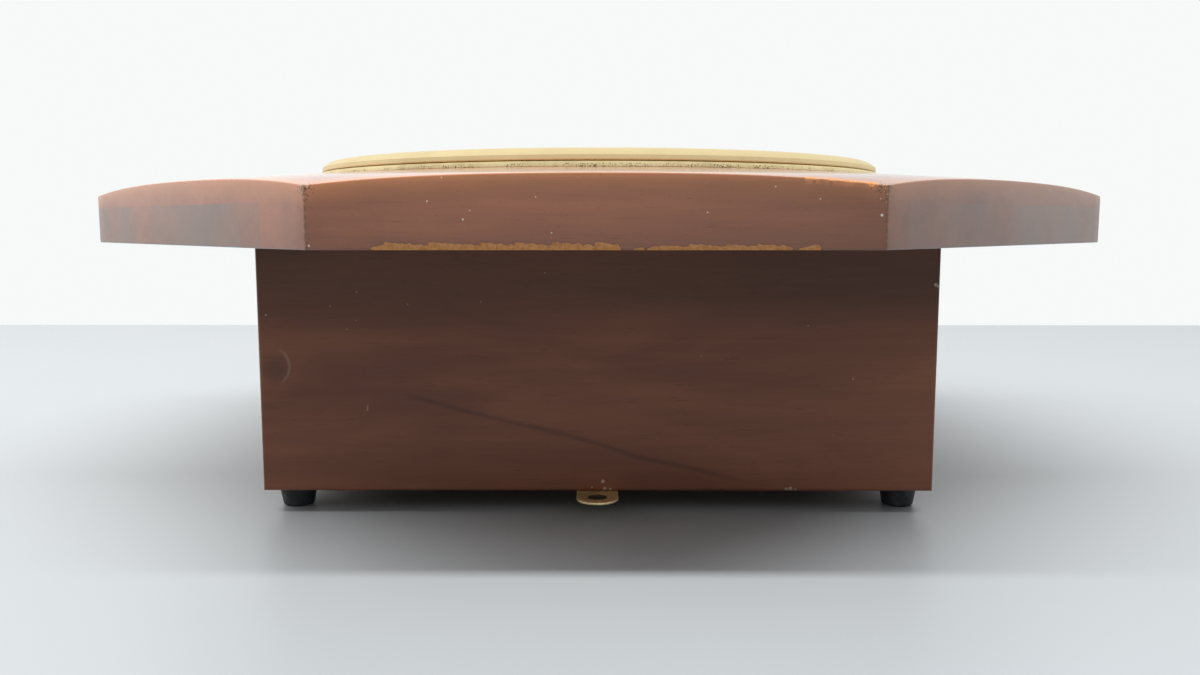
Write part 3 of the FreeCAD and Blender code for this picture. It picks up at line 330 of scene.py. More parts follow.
def split(tree, vector):
    made = add(tree, "ShaderNodeSeparateXYZ", {"Vector": vector})
    return made.outputs["X"], made.outputs["Y"], made.outputs["Z"]


def attribute(tree, name):
    return add(tree, "ShaderNodeAttribute", attribute_name=name).outputs["Fac"]


def reach_of(tree, place, point):
    """Distance from that point of the frame."""
    return add(tree, "ShaderNodeVectorMath", {0: place, 1: point}, operation="DISTANCE").outputs["Value"]


def shaded(tree, colour, amount, low, high):
    """Darkens a colour by factors that run from low to high with the amount."""
    ramp = add(tree, "ShaderNodeMapRange", {"Value": amount, "To Min": low, "To Max": high})
    factor = ramp.outputs["Result"]
    grey = add(tree, "ShaderNodeCombineColor", {"Red": factor, "Green": factor, "Blue": factor}).outputs[0]
    return mix_colour(tree, 1.0, colour, grey, "MULTIPLY")


def dots(tree, place, colour, face_y, spots, paint, strength):
    """Paints small round marks on a front face: each spot is its X, its Z and its radius."""
    for x, z, radius in spots:
        away = reach_of(tree, place, (x * MM, face_y, z * MM))
        mark = between(tree, away, radius * 1.3 * MM, radius * 0.6 * MM)
        colour = tinted(tree, colour, mark, strength, paint)
    return colour


def start_group(name, inputs, outputs):
    """A shader node group with named sockets; gives back the tree, its input node and its output node."""
    tree = bpy.data.node_groups.new(name, "ShaderNodeTree")
    for socket, kind, default in inputs:
        made = tree.interface.new_socket(socket, in_out="INPUT", socket_type=kind)
        if default is not None:
            made.default_value = default
    for socket, kind in outputs:
        tree.interface.new_socket(socket, in_out="OUTPUT", socket_type=kind)
    return tree, tree.nodes.new("NodeGroupInput"), tree.nodes.new("NodeGroupOutput")


def use_group(tree, name, values):
    made = tree.nodes.new("ShaderNodeGroup")
    made.node_tree = bpy.data.node_groups[name]
    feed(tree, made, values)
    return made


def new_finish(name, **constants):
    """A material with its Principled shader; constants are set straight on the shader's sockets."""
    material = bpy.data.materials.new(name)
    material.use_nodes = True
    tree = material.node_tree
    shader = tree.nodes["Principled BSDF"]
    for key, value in constants.items():
        shader.inputs[key.replace("_", " ")].default_value = value
    place = tree.nodes.new("ShaderNodeTexCoord").outputs["Object"]
    return material, tree, shader, place


def raise_bump(tree, shader, height, strength, distance):
    bump = add(tree, "ShaderNodeBump", {"Height": height, "Strength": strength, "Distance": distance})
    tree.links.new(bump.outputs["Normal"], shader.inputs["Normal"])


# ---------------------------------------------------------------- shared effects


PORE_BROWN = (0.02, 0.009, 0.006, 1)
SPOT_BROWN = (0.07, 0.045, 0.02, 1)


def build_wood_grain():
    """Growth rings, fibres and pores of wood whose grain runs along the vector's X."""
    tree, given, result = start_group("Wood Grain", [
        ("Vector", "NodeSocketVector", None),
        ("Dark", "NodeSocketColor", (0.1, 0.05, 0.03, 1)),
        ("Light", "NodeSocketColor", (0.3, 0.15, 0.08, 1)),
        ("Fibre", "NodeSocketFloat", 0.5),
    ], [("Colour", "NodeSocketColor"), ("Height", "NodeSocketFloat"), ("Roughness", "NodeSocketFloat")])
    vector, dark, light = (given.outputs[name] for name in ("Vector", "Dark", "Light"))
    figure = noise_value(tree, stretched(tree, vector, (1.0, 4.0, 4.0)), 9.0, 4.0, 0.5, 0.9)
    bands = noise_value(tree, stretched(tree, vector, (1.0, 14.0, 14.0)), 16.0, 4.0, 0.6, 0.4)
    fibres = noise_value(tree, stretched(tree, vector, (1.0, 34.0, 34.0)), 55.0, 4.0, 0.65)
    pores = noise_value(tree, stretched(tree, vector, (1.0, 16.0, 16.0)), 190.0, 2.0, 0.5)
    blend = calc(tree, "MULTIPLY_ADD", bands, 0.30, times(tree, figure, 0.75))
    colour = mix_colour(tree, between(tree, blend, 0.22, 0.82), dark, light)
    colour = tinted(tree, colour, between(tree, fibres, 0.52, 0.72), given.outputs["Fibre"], dark)
    pore_mask = between(tree, pores, 0.66, 0.74)
    colour = tinted(tree, colour, pore_mask, 0.25, PORE_BROWN)
    height = calc(tree, "MULTIPLY_ADD", pore_mask, -0.7, times(tree, fibres, 0.5))
    rough = calc(tree, "MULTIPLY_ADD", fibres, 0.10, times(tree, pore_mask, 0.15))
    feed(tree, result, {"Colour": colour, "Height": height, "Roughness": rough})


def build_specks():
    """Rare small round dots of splashed paint or dust, as a mask."""
    tree, given, result = start_group("Specks", [
        ("Vector", "NodeSocketVector", None),
        ("Spacing", "NodeSocketFloat", 90.0),
        ("Share", "NodeSocketFloat", 0.1),
        ("Size", "NodeSocketFloat", 0.03),
    ], [("Mask", "NodeSocketFloat")])
    cells = add(tree, "ShaderNodeTexVoronoi", {"Vector": given.outputs["Vector"],
                                               "Scale": given.outputs["Spacing"]})
    lot = add(tree, "ShaderNodeSeparateColor", {"Color": cells.outputs["Color"]})
    chosen = calc(tree, "LESS_THAN", lot.outputs["Red"], given.outputs["Share"])
    own_size = times(tree, given.outputs["Size"], calc(tree, "ADD", lot.outputs["Green"], 0.4))
    near = calc(tree, "LESS_THAN", cells.outputs["Distance"], own_size)
    feed(tree, result, {"Mask": times(tree, chosen, near)})


def build_brass_age():
    """Old polished brass: brown tarnish in blotches, fine scratches and dark spots."""
    tree, given, result = start_group("Brass Age", [
        ("Vector", "NodeSocketVector", None),
        ("Clean", "NodeSocketColor", (0.9, 0.7, 0.4, 1)),
        ("Tarnish", "NodeSocketColor", (0.3, 0.2, 0.1, 1)),
        ("Age", "NodeSocketFloat", 0.3),
        ("Spots", "NodeSocketFloat", 0.0),
    ], [("Colour", "NodeSocketColor"), ("Roughness", "NodeSocketFloat"), ("Height", "NodeSocketFloat")])
    vector = given.outputs["Vector"]
    blotch = between(tree, noise_value(tree, vector, 70.0, 5.0, 0.6, 0.3), 0.45, 0.75)
    spots = noise_value(tree, vector, 2600.0, 3.0, 0.65)
    spread = noise_value(tree, vector, 110.0, 2.0, 0.5)
    threshold = calc(tree, "MULTIPLY_ADD", spread, -0.30, 0.74)
    spot_mask = times(tree, calc(tree, "GREATER_THAN", spots, threshold), given.outputs["Spots"])
    tarnish_mask = times(tree, blotch, given.outputs["Age"])
    colour = mix_colour(tree, tarnish_mask, given.outputs["Clean"], given.outputs["Tarnish"])
    colour = mix_colour(tree, spot_mask, colour, SPOT_BROWN)
    scratches = noise_value(tree, stretched(tree, vector, (1.0, 30.0, 4.0)), 160.0, 2.0, 0.6)
    rough = calc(tree, "MULTIPLY_ADD", spot_mask, 0.4, times(tree, tarnish_mask, 0.25))
    feed(tree, result, {"Colour": colour,
                        "Roughness": calc(tree, "MULTIPLY_ADD", scratches, 0.12, rough),
                        "Height": calc(tree, "MULTIPLY_ADD", spot_mask, -0.6, scratches)})


# ---------------------------------------------------------------- finishes


SPLASH_WHITE = (0.75, 0.70, 0.62, 1)
RIM_WHITE = (0.85, 0.80, 0.72, 1)
KNOCK_CREAM = (0.62, 0.52, 0.44, 1)
# Painted reflection on the lower part of the side rim faces.
SIDE_REFLECTION_GREY = (0.125, 0.125, 0.120, 1)
BRUISE_BROWN = (0.060, 0.036, 0.022, 1)
CHIP_CREAM = (0.72, 0.52, 0.30, 1)
WORN_BROWN = (0.075, 0.040, 0.022, 1)
CHIP_FIBRE = (0.44, 0.175, 0.055, 1)
STREAK_BROWN = (0.030, 0.014, 0.010, 1)
SMUDGE_BROWN = (0.022, 0.014, 0.012, 1)
SCUFF_TAN = (0.42, 0.33, 0.26, 1)
# Painted shade in the hanging plate's eye.
EYE_SHADE_BLACK = (0.012, 0.009, 0.006, 1)

# Top of the painted grey reflection on the side rim faces.
SIDE_REFLECTION_TOP = BOARD_LOW.z + 10.6 * MM
BRUISE_HEIGHT = BOARD_LOW.z + 15.6 * MM
BRUISE_REACH = 5.2 * MM

STREAK_FALL = 0.262
STREAK_HEIGHT = 19.9 * MM
STREAK_WANDER = 6 * MM
STREAK_WIDTH = 1.4 * MM
SMUDGE_CENTRE = (-90 * MM, PANEL_LOW.y, 41 * MM)
SCUFF_CENTRE = (-91.5 * MM, PANEL_LOW.y, 41.8 * MM)
SCUFF_RADIUS = 5.6 * MM

# Pale marks on the front faces, in millimetres: X, Z and radius.
RIM_SPECKS = (
    (-36.5, 86.2, 0.18), (-27.3, 84.2, 0.14), (-28.8, 82.3, 0.22), (-13.0, 87.1, 0.14), (-9.6, 79.4, 0.15),
    (-33.3, 91.3, 0.14), (24.2, 83.8, 0.16), (38.8, 89.3, 0.16), (48.5, 86.7, 0.16), (61.9, 83.2, 0.30),
    (-62.4, 76.6, 0.20),
)
PANEL_SPECKS = (
    (-91.9, 56.2, 0.22), (-66.6, 62.6, 0.14), (-52.5, 59.2, 0.14), (-67.0, 54.7, 0.12), (-69.5, 52.2, 0.14),
    (-74.0, 58.6, 0.12), (-32.3, 59.8, 0.12), (-14.5, 67.9, 0.14), (58.3, 53.3, 0.14), (28.8, 44.8, 0.12),
    (-64.4, 29.5, 0.20), (-64.4, 30.1, 0.20), (-64.3, 30.7, 0.16), (93.2, 64.6, 0.45), (93.9, 64.2, 0.40),
    (71.1, 38.4, 0.20), (1.5, 9.1, 0.50), (2.0, 7.0, 0.50), (3.6, 6.8, 0.40), (-1.6, 7.4, 0.25),
    (53.2, 6.8, 0.50), (54.4, 7.0, 0.60), (55.8, 6.7, 0.40),
)


def lacquered_wood(name, finish, grain_angle=0.0, darken=1.0, coat=0.20):
    """Stained and lacquered wood; gives back what the caller needs to paint marks over it."""
    material, tree, shader, place = new_finish(name, Coat_Weight=coat, Coat_Roughness=0.16, Coat_IOR=1.5,
                                               Specular_IOR_Level=0.2)
    dark, light = (tuple(c * darken for c in stain[:3]) + (1,) for stain in (finish.stain_dark,
                                                                             finish.stain_light))
    turned = add(tree, "ShaderNodeVectorRotate", {"Vector": place, "Angle": -grain_angle},
                 rotation_type="Z_AXIS").outputs["Vector"]
    grain = use_group(tree, "Wood Grain", {"Vector": turned, "Dark": dark, "Light": light, "Fibre": 0.28})
    specks = use_group(tree, "Specks", {"Vector": place, "Spacing": 75.0, "Share": 0.10, "Size": 0.030})
    colour = mix_colour(tree, specks.outputs["Mask"], grain.outputs["Colour"], SPLASH_WHITE)
    feed(tree, shader, {"Roughness": calc(tree, "ADD", grain.outputs["Roughness"], 0.30)})
    raise_bump(tree, shader, grain.outputs["Height"], 0.25, 0.2 * MM)
    return material, tree, shader, place, colour


def corner_marks(tree, place, colour, side, flecks):
    """Bruises, pale chips and a worn edge at one of the two front corners."""
    x, y, z = split(tree, place)
    corner = (side * FRONT_CORNER, -BOARD_HALF, BRUISE_HEIGHT)
    offset = add(tree, "ShaderNodeVectorMath", {0: place, 1: corner}, operation="SUBTRACT").outputs[0]
    squeezed = stretched(tree, offset, (1.0, 1.0, 0.55))
    away = add(tree, "ShaderNodeVectorMath", {0: squeezed}, operation="LENGTH").outputs["Value"]
    closeness = between(tree, away, BRUISE_REACH, 0.0)
    crumbs = noise_value(tree, place, 2300.0, 3.0, 0.6)
    bruised = calc(tree, "GREATER_THAN", calc(tree, "MULTIPLY_ADD", closeness, 0.22, crumbs), 0.70)
    colour = tinted(tree, colour, bruised, 0.85, BRUISE_BROWN)
    pale = calc(tree, "LESS_THAN", calc(tree, "MULTIPLY_ADD", closeness, -0.17, crumbs), 0.245)
    colour = tinted(tree, colour, pale, 0.8, CHIP_CREAM)
    line = calc(tree, "ABSOLUTE", calc(tree, "SUBTRACT", x, side * FRONT_CORNER))
    worn = times(tree, between(tree, line, 0.7 * MM, 0.1 * MM), between(tree, flecks, 0.42, 0.58))
    worn = times(tree, worn, between(tree, y, -BOARD_HALF + 1.0 * MM, -BOARD_HALF + 0.4 * MM))
    return tinted(tree, colour, worn, 0.6, WORN_BROWN)


def top_board_finish(finish):
    """The turned top: painted light in a lighter orange along its upper edge, painted shade to the right and
    low down, a painted grey reflection low on the sides, and bare wood in its chips, partly a painted
    highlight along the upper front edge.
    """
    # Painted light: the top is a lighter copy of the panels' stained wood, its stain 1.68 times as light.
    material, tree, shader, place, colour = lacquered_wood("top_board_stain", finish, 0.0, 1.68, 1.0)
    shader.inputs["Coat Roughness"].default_value = 0.14
    x, y, z = split(tree, place)
    # Painted light: a lighter orange along the board's upper edge, fading 7 mm down the rim and a little way
    # in over the top, broken up by blotchy noise.
    blotch = noise_value(tree, stretched(tree, place, (1.0, 3.0, 3.0)), 45.0, 4.0)
    edge_light = calc(tree, "MULTIPLY_ADD", blotch, 0.5, calc(tree, "SUBTRACT", attribute(tree, "edge_light"), 0.25))
    colour = tinted(tree, colour, between(tree, edge_light, 0.15, 1.0), 0.75, finish.edge_light_colour)
    # Painted shade: the board darkens towards the right, away from the light on the left.
    colour = shaded(tree, colour, between(tree, x, -60 * MM, 100 * MM), 1.0, 0.66)
    # Painted shade: darker towards the underside over the lowest 12 mm of the rim.
    colour = shaded(tree, colour, between(tree, z, BOARD_LOW.z, BOARD_LOW.z + 12 * MM), 0.84, 1.0)
    # Painted reflection: a patchy grey over the lower 10.6 mm of the left and right rim faces, stronger on
    # the left.
    patch = noise_value(tree, stretched(tree, place, (1.0, 1.0, 0.3)), 34.0, 2.0)
    lower = times(tree, calc(tree, "LESS_THAN", z, SIDE_REFLECTION_TOP), between(tree, patch, 0.30, 0.62))
    outer = calc(tree, "ADD", times(tree, calc(tree, "LESS_THAN", x, -78 * MM), 0.62),
                 times(tree, calc(tree, "GREATER_THAN", x, 70 * MM), 0.45))
    colour = tinted(tree, colour, lower, outer, SIDE_REFLECTION_GREY)
    flecks = noise_value(tree, place, 950.0, 3.0, 0.6)
    for side in (-1, 1):
        colour = corner_marks(tree, place, colour, side, flecks)
    colour = dots(tree, place, colour, -BOARD_HALF, RIM_SPECKS, RIM_WHITE, 0.8)
    fibres = noise_value(tree, stretched(tree, place, (1.0, 1.0, 0.12)), 1500.0, 3.0, 0.6)
    bare = mix_colour(tree, between(tree, fibres, 0.35, 0.70), finish.bare_wood, CHIP_FIBRE)
    torn = calc(tree, "MULTIPLY_ADD", calc(tree, "SUBTRACT", flecks, 0.5), 0.5, attribute(tree, "bare"))
    bare_mask = calc(tree, "GREATER_THAN", torn, 0.5)
    feed(tree, shader, {"Base Color": mix_colour(tree, bare_mask, colour, bare),
                        "Coat Weight": calc(tree, "SUBTRACT", 1.0, bare_mask)})
    return material


def front_panel_finish(finish):
    """The front of the case: painted shade under the overhang, a dark mineral streak, a crescent scuff and
    small pale knocks.
    """
    material, tree, shader, place, colour = lacquered_wood("front_panel_stain", finish)
    x, y, z = split(tree, place)
    # Painted shade: darker towards the top, under the overhang of the top board, and a little lighter low
    # down.
    colour = shaded(tree, colour, between(tree, z, 46 * MM, 64 * MM), 1.12, 0.58)
    wander = noise_value(tree, stretched(tree, place, (1.0, 2.0, 2.0)), 24.0, 3.0)
    above = calc(tree, "MULTIPLY_ADD", x, STREAK_FALL, calc(tree, "SUBTRACT", z, STREAK_HEIGHT))
    above = calc(tree, "MULTIPLY_ADD", calc(tree, "SUBTRACT", wander, 0.5), STREAK_WANDER, above)
    width = between(tree, calc(tree, "ABSOLUTE", above), STREAK_WIDTH, 0.0)
    length = times(tree, between(tree, x, -60 * MM, -45 * MM), between(tree, x, 46 * MM, 30 * MM))
    colour = tinted(tree, colour, times(tree, width, length), 0.36, STREAK_BROWN)
    smudge = between(tree, reach_of(tree, place, SMUDGE_CENTRE), 5.5 * MM, 1.5 * MM)
    colour = tinted(tree, colour, smudge, 0.40, SMUDGE_BROWN)
    off_ring = calc(tree, "SUBTRACT", reach_of(tree, place, SCUFF_CENTRE), SCUFF_RADIUS)
    ring = between(tree, calc(tree, "ABSOLUTE", off_ring), 0.6 * MM, 0.1 * MM)
    crescent = times(tree, ring, between(tree, x, -89.5 * MM, -86.5 * MM))
    colour = tinted(tree, colour, crescent, 0.22, SCUFF_TAN)
    feed(tree, shader, {"Base Color": dots(tree, place, colour, PANEL_LOW.y, PANEL_SPECKS, KNOCK_CREAM, 0.6)})
    return material


def plain_panel_finish(name, finish, grain_angle):
    """A side or the back of the case: stained wood without marks of its own."""
    material, tree, shader, place, colour = lacquered_wood(name, finish, grain_angle)
    feed(tree, shader, {"Base Color": colour})
    return material


def plain_wood_finish():
    """Unstained softwood for the parts that nobody sees."""
    material, tree, shader, place = new_finish("plain_wood_grain", Specular_IOR_Level=0.3)
    grain = use_group(tree, "Wood Grain", {"Vector": place, "Dark": (0.36, 0.20, 0.09, 1),
                                           "Light": (0.62, 0.42, 0.22, 1), "Fibre": 0.3})
    feed(tree, shader, {"Base Color": grain.outputs["Colour"],
                        "Roughness": calc(tree, "ADD", grain.outputs["Roughness"], 0.62)})
    raise_bump(tree, shader, grain.outputs["Height"], 0.5, 0.3 * MM)
    return material


def brass_finish(name, finish, age, spots, rough, base_line=None):
    """Brass; base_line is a height up to which the metal is spotted with corrosion."""
    material, tree, shader, place = new_finish(name, Metallic=1.0)
    if base_line is not None:
        x, y, z = split(tree, place)
        spots = times(tree, between(tree, z, base_line + 0.4 * MM, base_line), spots)
    aged = use_group(tree, "Brass Age", {"Vector": place, "Clean": tuple(finish.brass),
                                         "Tarnish": tuple(finish.tarnish), "Age": age, "Spots": spots})
    feed(tree, shader, {"Base Color": aged.outputs["Colour"],
                        "Roughness": calc(tree, "ADD", aged.outputs["Roughness"], rough)})
    raise_bump(tree, shader, aged.outputs["Height"], 0.04, 0.1 * MM)
    return material


def strap_finish(finish):
    """Dull brass, darkened in and round the eye: painted shade in the hole."""
    material = brass_finish("strap_brass", finish, 1.0, 0.5, 0.42)
    tree = material.node_tree
    place = tree.nodes.new("ShaderNodeTexCoord").outputs["Object"]
    base = tree.nodes["Principled BSDF"].inputs["Base Color"]
    # Painted shade: the eye's wall and a thin ring round it darkened almost to black.
    eye_shade = between(tree, reach_of(tree, place, STRAP_EYE), 3.1 * MM, 2.35 * MM)
    eye_shaded = tinted(tree, base.links[0].from_socket, eye_shade, 0.92, EYE_SHADE_BLACK)
    tree.links.new(eye_shaded, base)
    return material


def steel_finish():
    """Ground and polished steel with a fine drawn grain."""
    material, tree, shader, place = new_finish("drawn_steel", Metallic=1.0)
    lines = noise_value(tree, stretched(tree, place, (1.0, 40.0, 40.0)), 60.0, 3.0, 0.6)
    cloud = noise_value(tree, place, 60.0, 4.0)
    colour = mix_colour(tree, between(tree, cloud, 0.35, 0.7), (0.55, 0.55, 0.56, 1), (0.38, 0.38, 0.40, 1))
    feed(tree, shader, {"Base Color": colour, "Roughness": calc(tree, "MULTIPLY_ADD", lines, 0.18, 0.22)})
    raise_bump(tree, shader, lines, 0.10, 0.1 * MM)
    return material


def iron_finish():
    """Cast iron under a coat of dark japan enamel."""
    material, tree, shader, place = new_finish("japanned_iron", Coat_Weight=0.6, Coat_Roughness=0.15)
    lumps = noise_value(tree, place, 420.0, 4.0, 0.6)
    cloud = noise_value(tree, place, 40.0, 3.0)
    colour = mix_colour(tree, cloud, (0.012, 0.012, 0.014, 1), (0.045, 0.040, 0.036, 1))
    dust = use_group(tree, "Specks", {"Vector": place, "Spacing": 260.0, "Share": 0.08, "Size": 0.05})
    colour = tinted(tree, colour, dust.outputs["Mask"], 0.5, (0.4, 0.37, 0.33, 1))
    feed(tree, shader, {"Base Color": colour, "Roughness": calc(tree, "MULTIPLY_ADD", cloud, 0.2, 0.35)})
    raise_bump(tree, shader, lumps, 0.3, 0.3 * MM)
    return material


def rubber_finish():
    """Moulded black rubber with a little dust on it."""
    material, tree, shader, place = new_finish("moulded_rubber", Specular_IOR_Level=0.45)
    texture = noise_value(tree, place, 1600.0, 3.0, 0.6)
    dust = noise_value(tree, place, 260.0, 4.0, 0.6)
    colour = mix_colour(tree, between(tree, dust, 0.5, 0.8), (0.017, 0.019, 0.022, 1), (0.08, 0.08, 0.08, 1))
    feed(tree, shader, {"Base Color": colour, "Roughness": calc(tree, "MULTIPLY_ADD", dust, 0.25, 0.42)})
    raise_bump(tree, shader, texture, 0.25, 0.1 * MM)
    return material


def glass_finish():
    """Clear domed glass with a faint film of dust and wiping marks."""
    material, tree, shader, place = new_finish("domed_glass", Transmission_Weight=1.0, IOR=1.5, Metallic=0.0)
    film = noise_value(tree, stretched(tree, place, (1.0, 2.5, 1.0)), 40.0, 5.0, 0.6)
    tint = mix_colour(tree, film, (0.96, 0.98, 0.97, 1), (0.90, 0.93, 0.92, 1))
    feed(tree, shader, {"Base Color": tint,
                        "Roughness": times(tree, between(tree, film, 0.5, 0.9), 0.06)})
    return material


# ---------------------------------------------------------------- turned top board


def dome_height(settings, radius):
    """Height of the turned surface above the underside."""
    if radius <= settings.seat_radius:
        return SEAT_HEIGHT
    if radius <= settings.shoulder_radius:
        along = (radius - settings.seat_radius) / (settings.shoulder_radius - settings.seat_radius)
        return SEAT_HEIGHT + (settings.shoulder_height - SEAT_HEIGHT) * along
    start = Vector((settings.shoulder_radius, settings.shoulder_height))
    end = Vector((BOARD_HALF / math.cos(math.pi / OCTAGON_SIDES) + 0.5 * MM, settings.rim_height))
    half = (end - start) / 2
    down = Vector((half.y, -half.x)).normalized()
    centre = start + half + down * math.sqrt(settings.rim_curve**2 - half.length_squared)
    return centre.y + math.sqrt(settings.rim_curve**2 - (radius - centre.x)**2)


def plan_outline(round_radius):
    """The octagon's outline, anticlockwise from the front left corner: (point, outward normal)."""
    step = 2 * math.pi / OCTAGON_SIDES
    outline = []
    for side in range(OCTAGON_SIDES):
        facing = -math.pi / 2 + side * step
        normal = Vector((math.cos(facing), math.sin(facing)))
        along = Vector((-normal.y, normal.x))
        count = 380 if side == 0 else 30
        straight = FRONT_CORNER - round_radius * math.tan(step / 2)
        for i in range(count + 1):
            reach = straight * (2 * i / count - 1)
            outline.append((normal * BOARD_HALF + along * reach, normal))
        pivot = normal * (BOARD_HALF - round_radius) + along * straight
        for i in (1, 2):
            turned_normal = Vector((math.cos(facing + step * i / 3), math.sin(facing + step * i / 3)))
            outline.append((pivot + turned_normal * round_radius, turned_normal))
    return outline


def flake(x, length, seed):
    """A splinter edge: steep at one end of each flake and sloping at the other, 0 to 1."""
    shift = x / length + 0.6 * noise.noise(Vector((x * 60, seed, 0)))
    saw = shift - math.floor(shift)
    return 0.55 + 0.35 * (1 - saw) + 0.22 * noise.noise(Vector((x * 900, seed, 3.1)))


CHIPS = (  # start and end along the front edge, and height as a share of the longest chip
    (-49.2 * MM, 5.5 * MM, 1.0),
    (8.2 * MM, 10.7 * MM, 0.5),
    (11.2 * MM, 42.9 * MM, 0.74),
    (44.3 * MM, 49.2 * MM, 0.74),
)


# Start of the chipped upper front edge, whose bare wood also stands for a painted highlight along that edge.
UPPER_CHIP_AND_HIGHLIGHT_START = 45 * MM


def chip_height_at(settings, x):
    """How high the splintered chip along the front's lower edge reaches at this place."""
    for start, end, share in CHIPS:
        if start <= x <= end:
            ends = min(1, (x - start) / (3 * MM), (end - x) / (0.8 * MM))
            return settings.chip_height * share * (0.35 + 0.65 * ends) * flake(x, 9 * MM, share)
    return 0.0


def build_turned_top(settings):
    """The board as rings of one outline: up the rim, over the dome, down the window and back below."""
    outline = plan_outline(0.8 * MM)
    round_off = settings.edge_round
    shape = bmesh.new()
    bare_layer = shape.verts.layers.float.new("bare")
    # Mask of the painted light along the upper edge: 1 at the edge, fading down the rim and in over the top.
    edge_light_layer = shape.verts.layers.float.new("edge_light")
    front = -BOARD_HALF

    def ring(inset, height_of, bare_of=None):
        made = []
        for point, normal in outline:
            edge_height = dome_height(settings, point.length)
            height = height_of(edge_height)
            place = point - normal * inset
            bare = 0.0
            if bare_of is not None and abs(normal.y + 1) < 1e-6:
                bare, depth = bare_of(point.x, height)
                place = place - normal * depth
            vert = shape.verts.new((place.x, place.y, BOARD_LOW.z + height))
            vert[bare_layer] = bare
            vert[edge_light_layer] = max(0.0, 1 - (edge_height - height) / (7 * MM))
            made.append(vert)
        return made

    def lower_chip(x, height):
        reach = chip_height_at(settings, x)
        if reach <= 0:
            return 0.0, 0.0
        inside = max(0.0, min(1.0, (reach - height) / (0.25 * MM) + 0.5))
        depth = settings.chip_depth * max(0.0, 1 - height / reach) + 0.12 * MM
        return inside, depth * inside

    # Partly a chip and partly a painted highlight: bare wood and a shallow notch along the upper front edge.
    def upper_chip_and_highlight(x, height):
        edge = dome_height(settings, math.hypot(x, front))
        if x < UPPER_CHIP_AND_HIGHLIGHT_START:
            return 0.0, 0.0
        wanted = 0.9 * MM * max(0.0, noise.noise(Vector((x * 330, 7.7, 0))) + 0.15)
        inside = max(0.0, min(1.0, (wanted - (edge - height)) / (0.25 * MM) + 0.3))
        return inside, 0.25 * MM * inside

    rings = []
    rings.append(ring(round_off, lambda edge: 0.0, lower_chip))
    for share in (0.3, 0.62):
        lift = round_off * (1 - math.sqrt(1 - share**2))
        rings.append(ring(round_off * (1 - share), lambda edge, lift=lift: lift, lower_chip))
    steps = 11
    start = settings.chip_height * 1.25
    for i in range(steps + 1):
        level = round_off + (start - round_off) * i / steps
        rings.append(ring(0.0, lambda edge, level=level: level, lower_chip))
    for share in (0.25, 0.5, 0.75, 0.9):
        rings.append(ring(0.0, lambda edge, share=share: start + (edge - round_off - start) * share,
                          upper_chip_and_highlight))
    for share in (0.0, 0.35, 0.7, 0.93):
        angle = share * math.pi / 2
        inset = round_off * (1 - math.cos(angle))
        drop = round_off * (1 - math.sin(angle))
        rings.append(ring(inset, lambda edge, drop=drop: edge - drop, upper_chip_and_highlight))

    angles = [math.atan2(point.y, point.x) for point, normal in outline]
    top_steps = 26
    for i in range(1, top_steps + 1):
        share = i / top_steps
        made = []
        for (point, normal), angle in zip(outline, angles):
            reach = (point - normal * round_off).length * (1 - share) + settings.seat_radius * share
            vert = shape.verts.new((reach * math.cos(angle), reach * math.sin(angle),
                                    BOARD_LOW.z + dome_height(settings, reach)))
            vert[edge_light_layer] = max(0.0, 0.9 - share * 6)
            made.append(vert)
        rings.append(made)
    window = settings.window_radius
    wall = [(window + round_off, SEAT_HEIGHT), (window + 0.3 * round_off, SEAT_HEIGHT - 0.3 * round_off),
            (window, SEAT_HEIGHT - round_off), (window, round_off), (window + round_off, 0.0)]
    for radius, height in wall:
        rings.append([shape.verts.new((radius * math.cos(a), radius * math.sin(a), BOARD_LOW.z + height))
                      for a in angles])
    for lower, upper in zip(rings, rings[1:] + rings[:1]):
        bridge(shape, lower, upper)
    return finished_mesh("turned_top", shape)


def cut_leaf_seat(obj):
    """Sinks the hinge leaf's seat into the board."""
    low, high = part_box("bezel_hinge_fixed_leaf")
    room = 0.2 * MM
    seat_top = BOARD_HIGH.z + 1 * MM
    seat_low = Vector((low.x - room, low.y + 2.6 * MM, low.z))
    seat_high = Vector((high.x + room, high.y + room, seat_top))
    shape = bmesh.new()
    bmesh.ops.create_cube(shape, size=1.0)
    size, middle = seat_high - seat_low, (seat_low + seat_high) / 2
    bmesh.ops.scale(shape, verts=shape.verts, vec=size)
    bmesh.ops.translate(shape, verts=shape.verts, vec=middle)
    cutter = placed("leaf_seat_cutter", finished_mesh("leaf_seat_cutter", shape))
    cut = obj.modifiers.new("leaf_seat", "BOOLEAN")
    cut.operation = "DIFFERENCE"
    cut.solver = "EXACT"
    cut.object = cutter
    mesh = baked(obj)
    obj.modifiers.clear()
    obj.data = mesh
    bpy.data.objects.remove(cutter)


# ---------------------------------------------------------------- brass, glass and rubber


RING_STEPS = 288


def build_base_ring():
    """The fixed ring: a flat flange with a round bead at its outer edge."""
    low, high = BASE_RING_LOW, BASE_RING_HIGH
    outer = (high.x - low.x) / 2
    inner = 84 * MM
    bead = 1.4 * MM
    flange = 1.0 * MM
    bottom, top = low.z, high.z
    bead_top = arc_points((outer, top - bead / 2), (outer - bead, top - bead / 2), bead / 2, 8)
    profile = [(inner + 0.2 * MM, bottom), (outer - 0.1 * MM, bottom), (outer, bottom + 0.1 * MM), *bead_top,
               (outer - bead, bottom + flange), (inner + 0.3 * MM, bottom + flange),
               (inner, bottom + flange - 0.3 * MM), (inner, bottom + 0.2 * MM)]
    shape = bmesh.new()
    lathe(shape, profile, RING_STEPS)
    return finished_mesh("base_ring", shape)


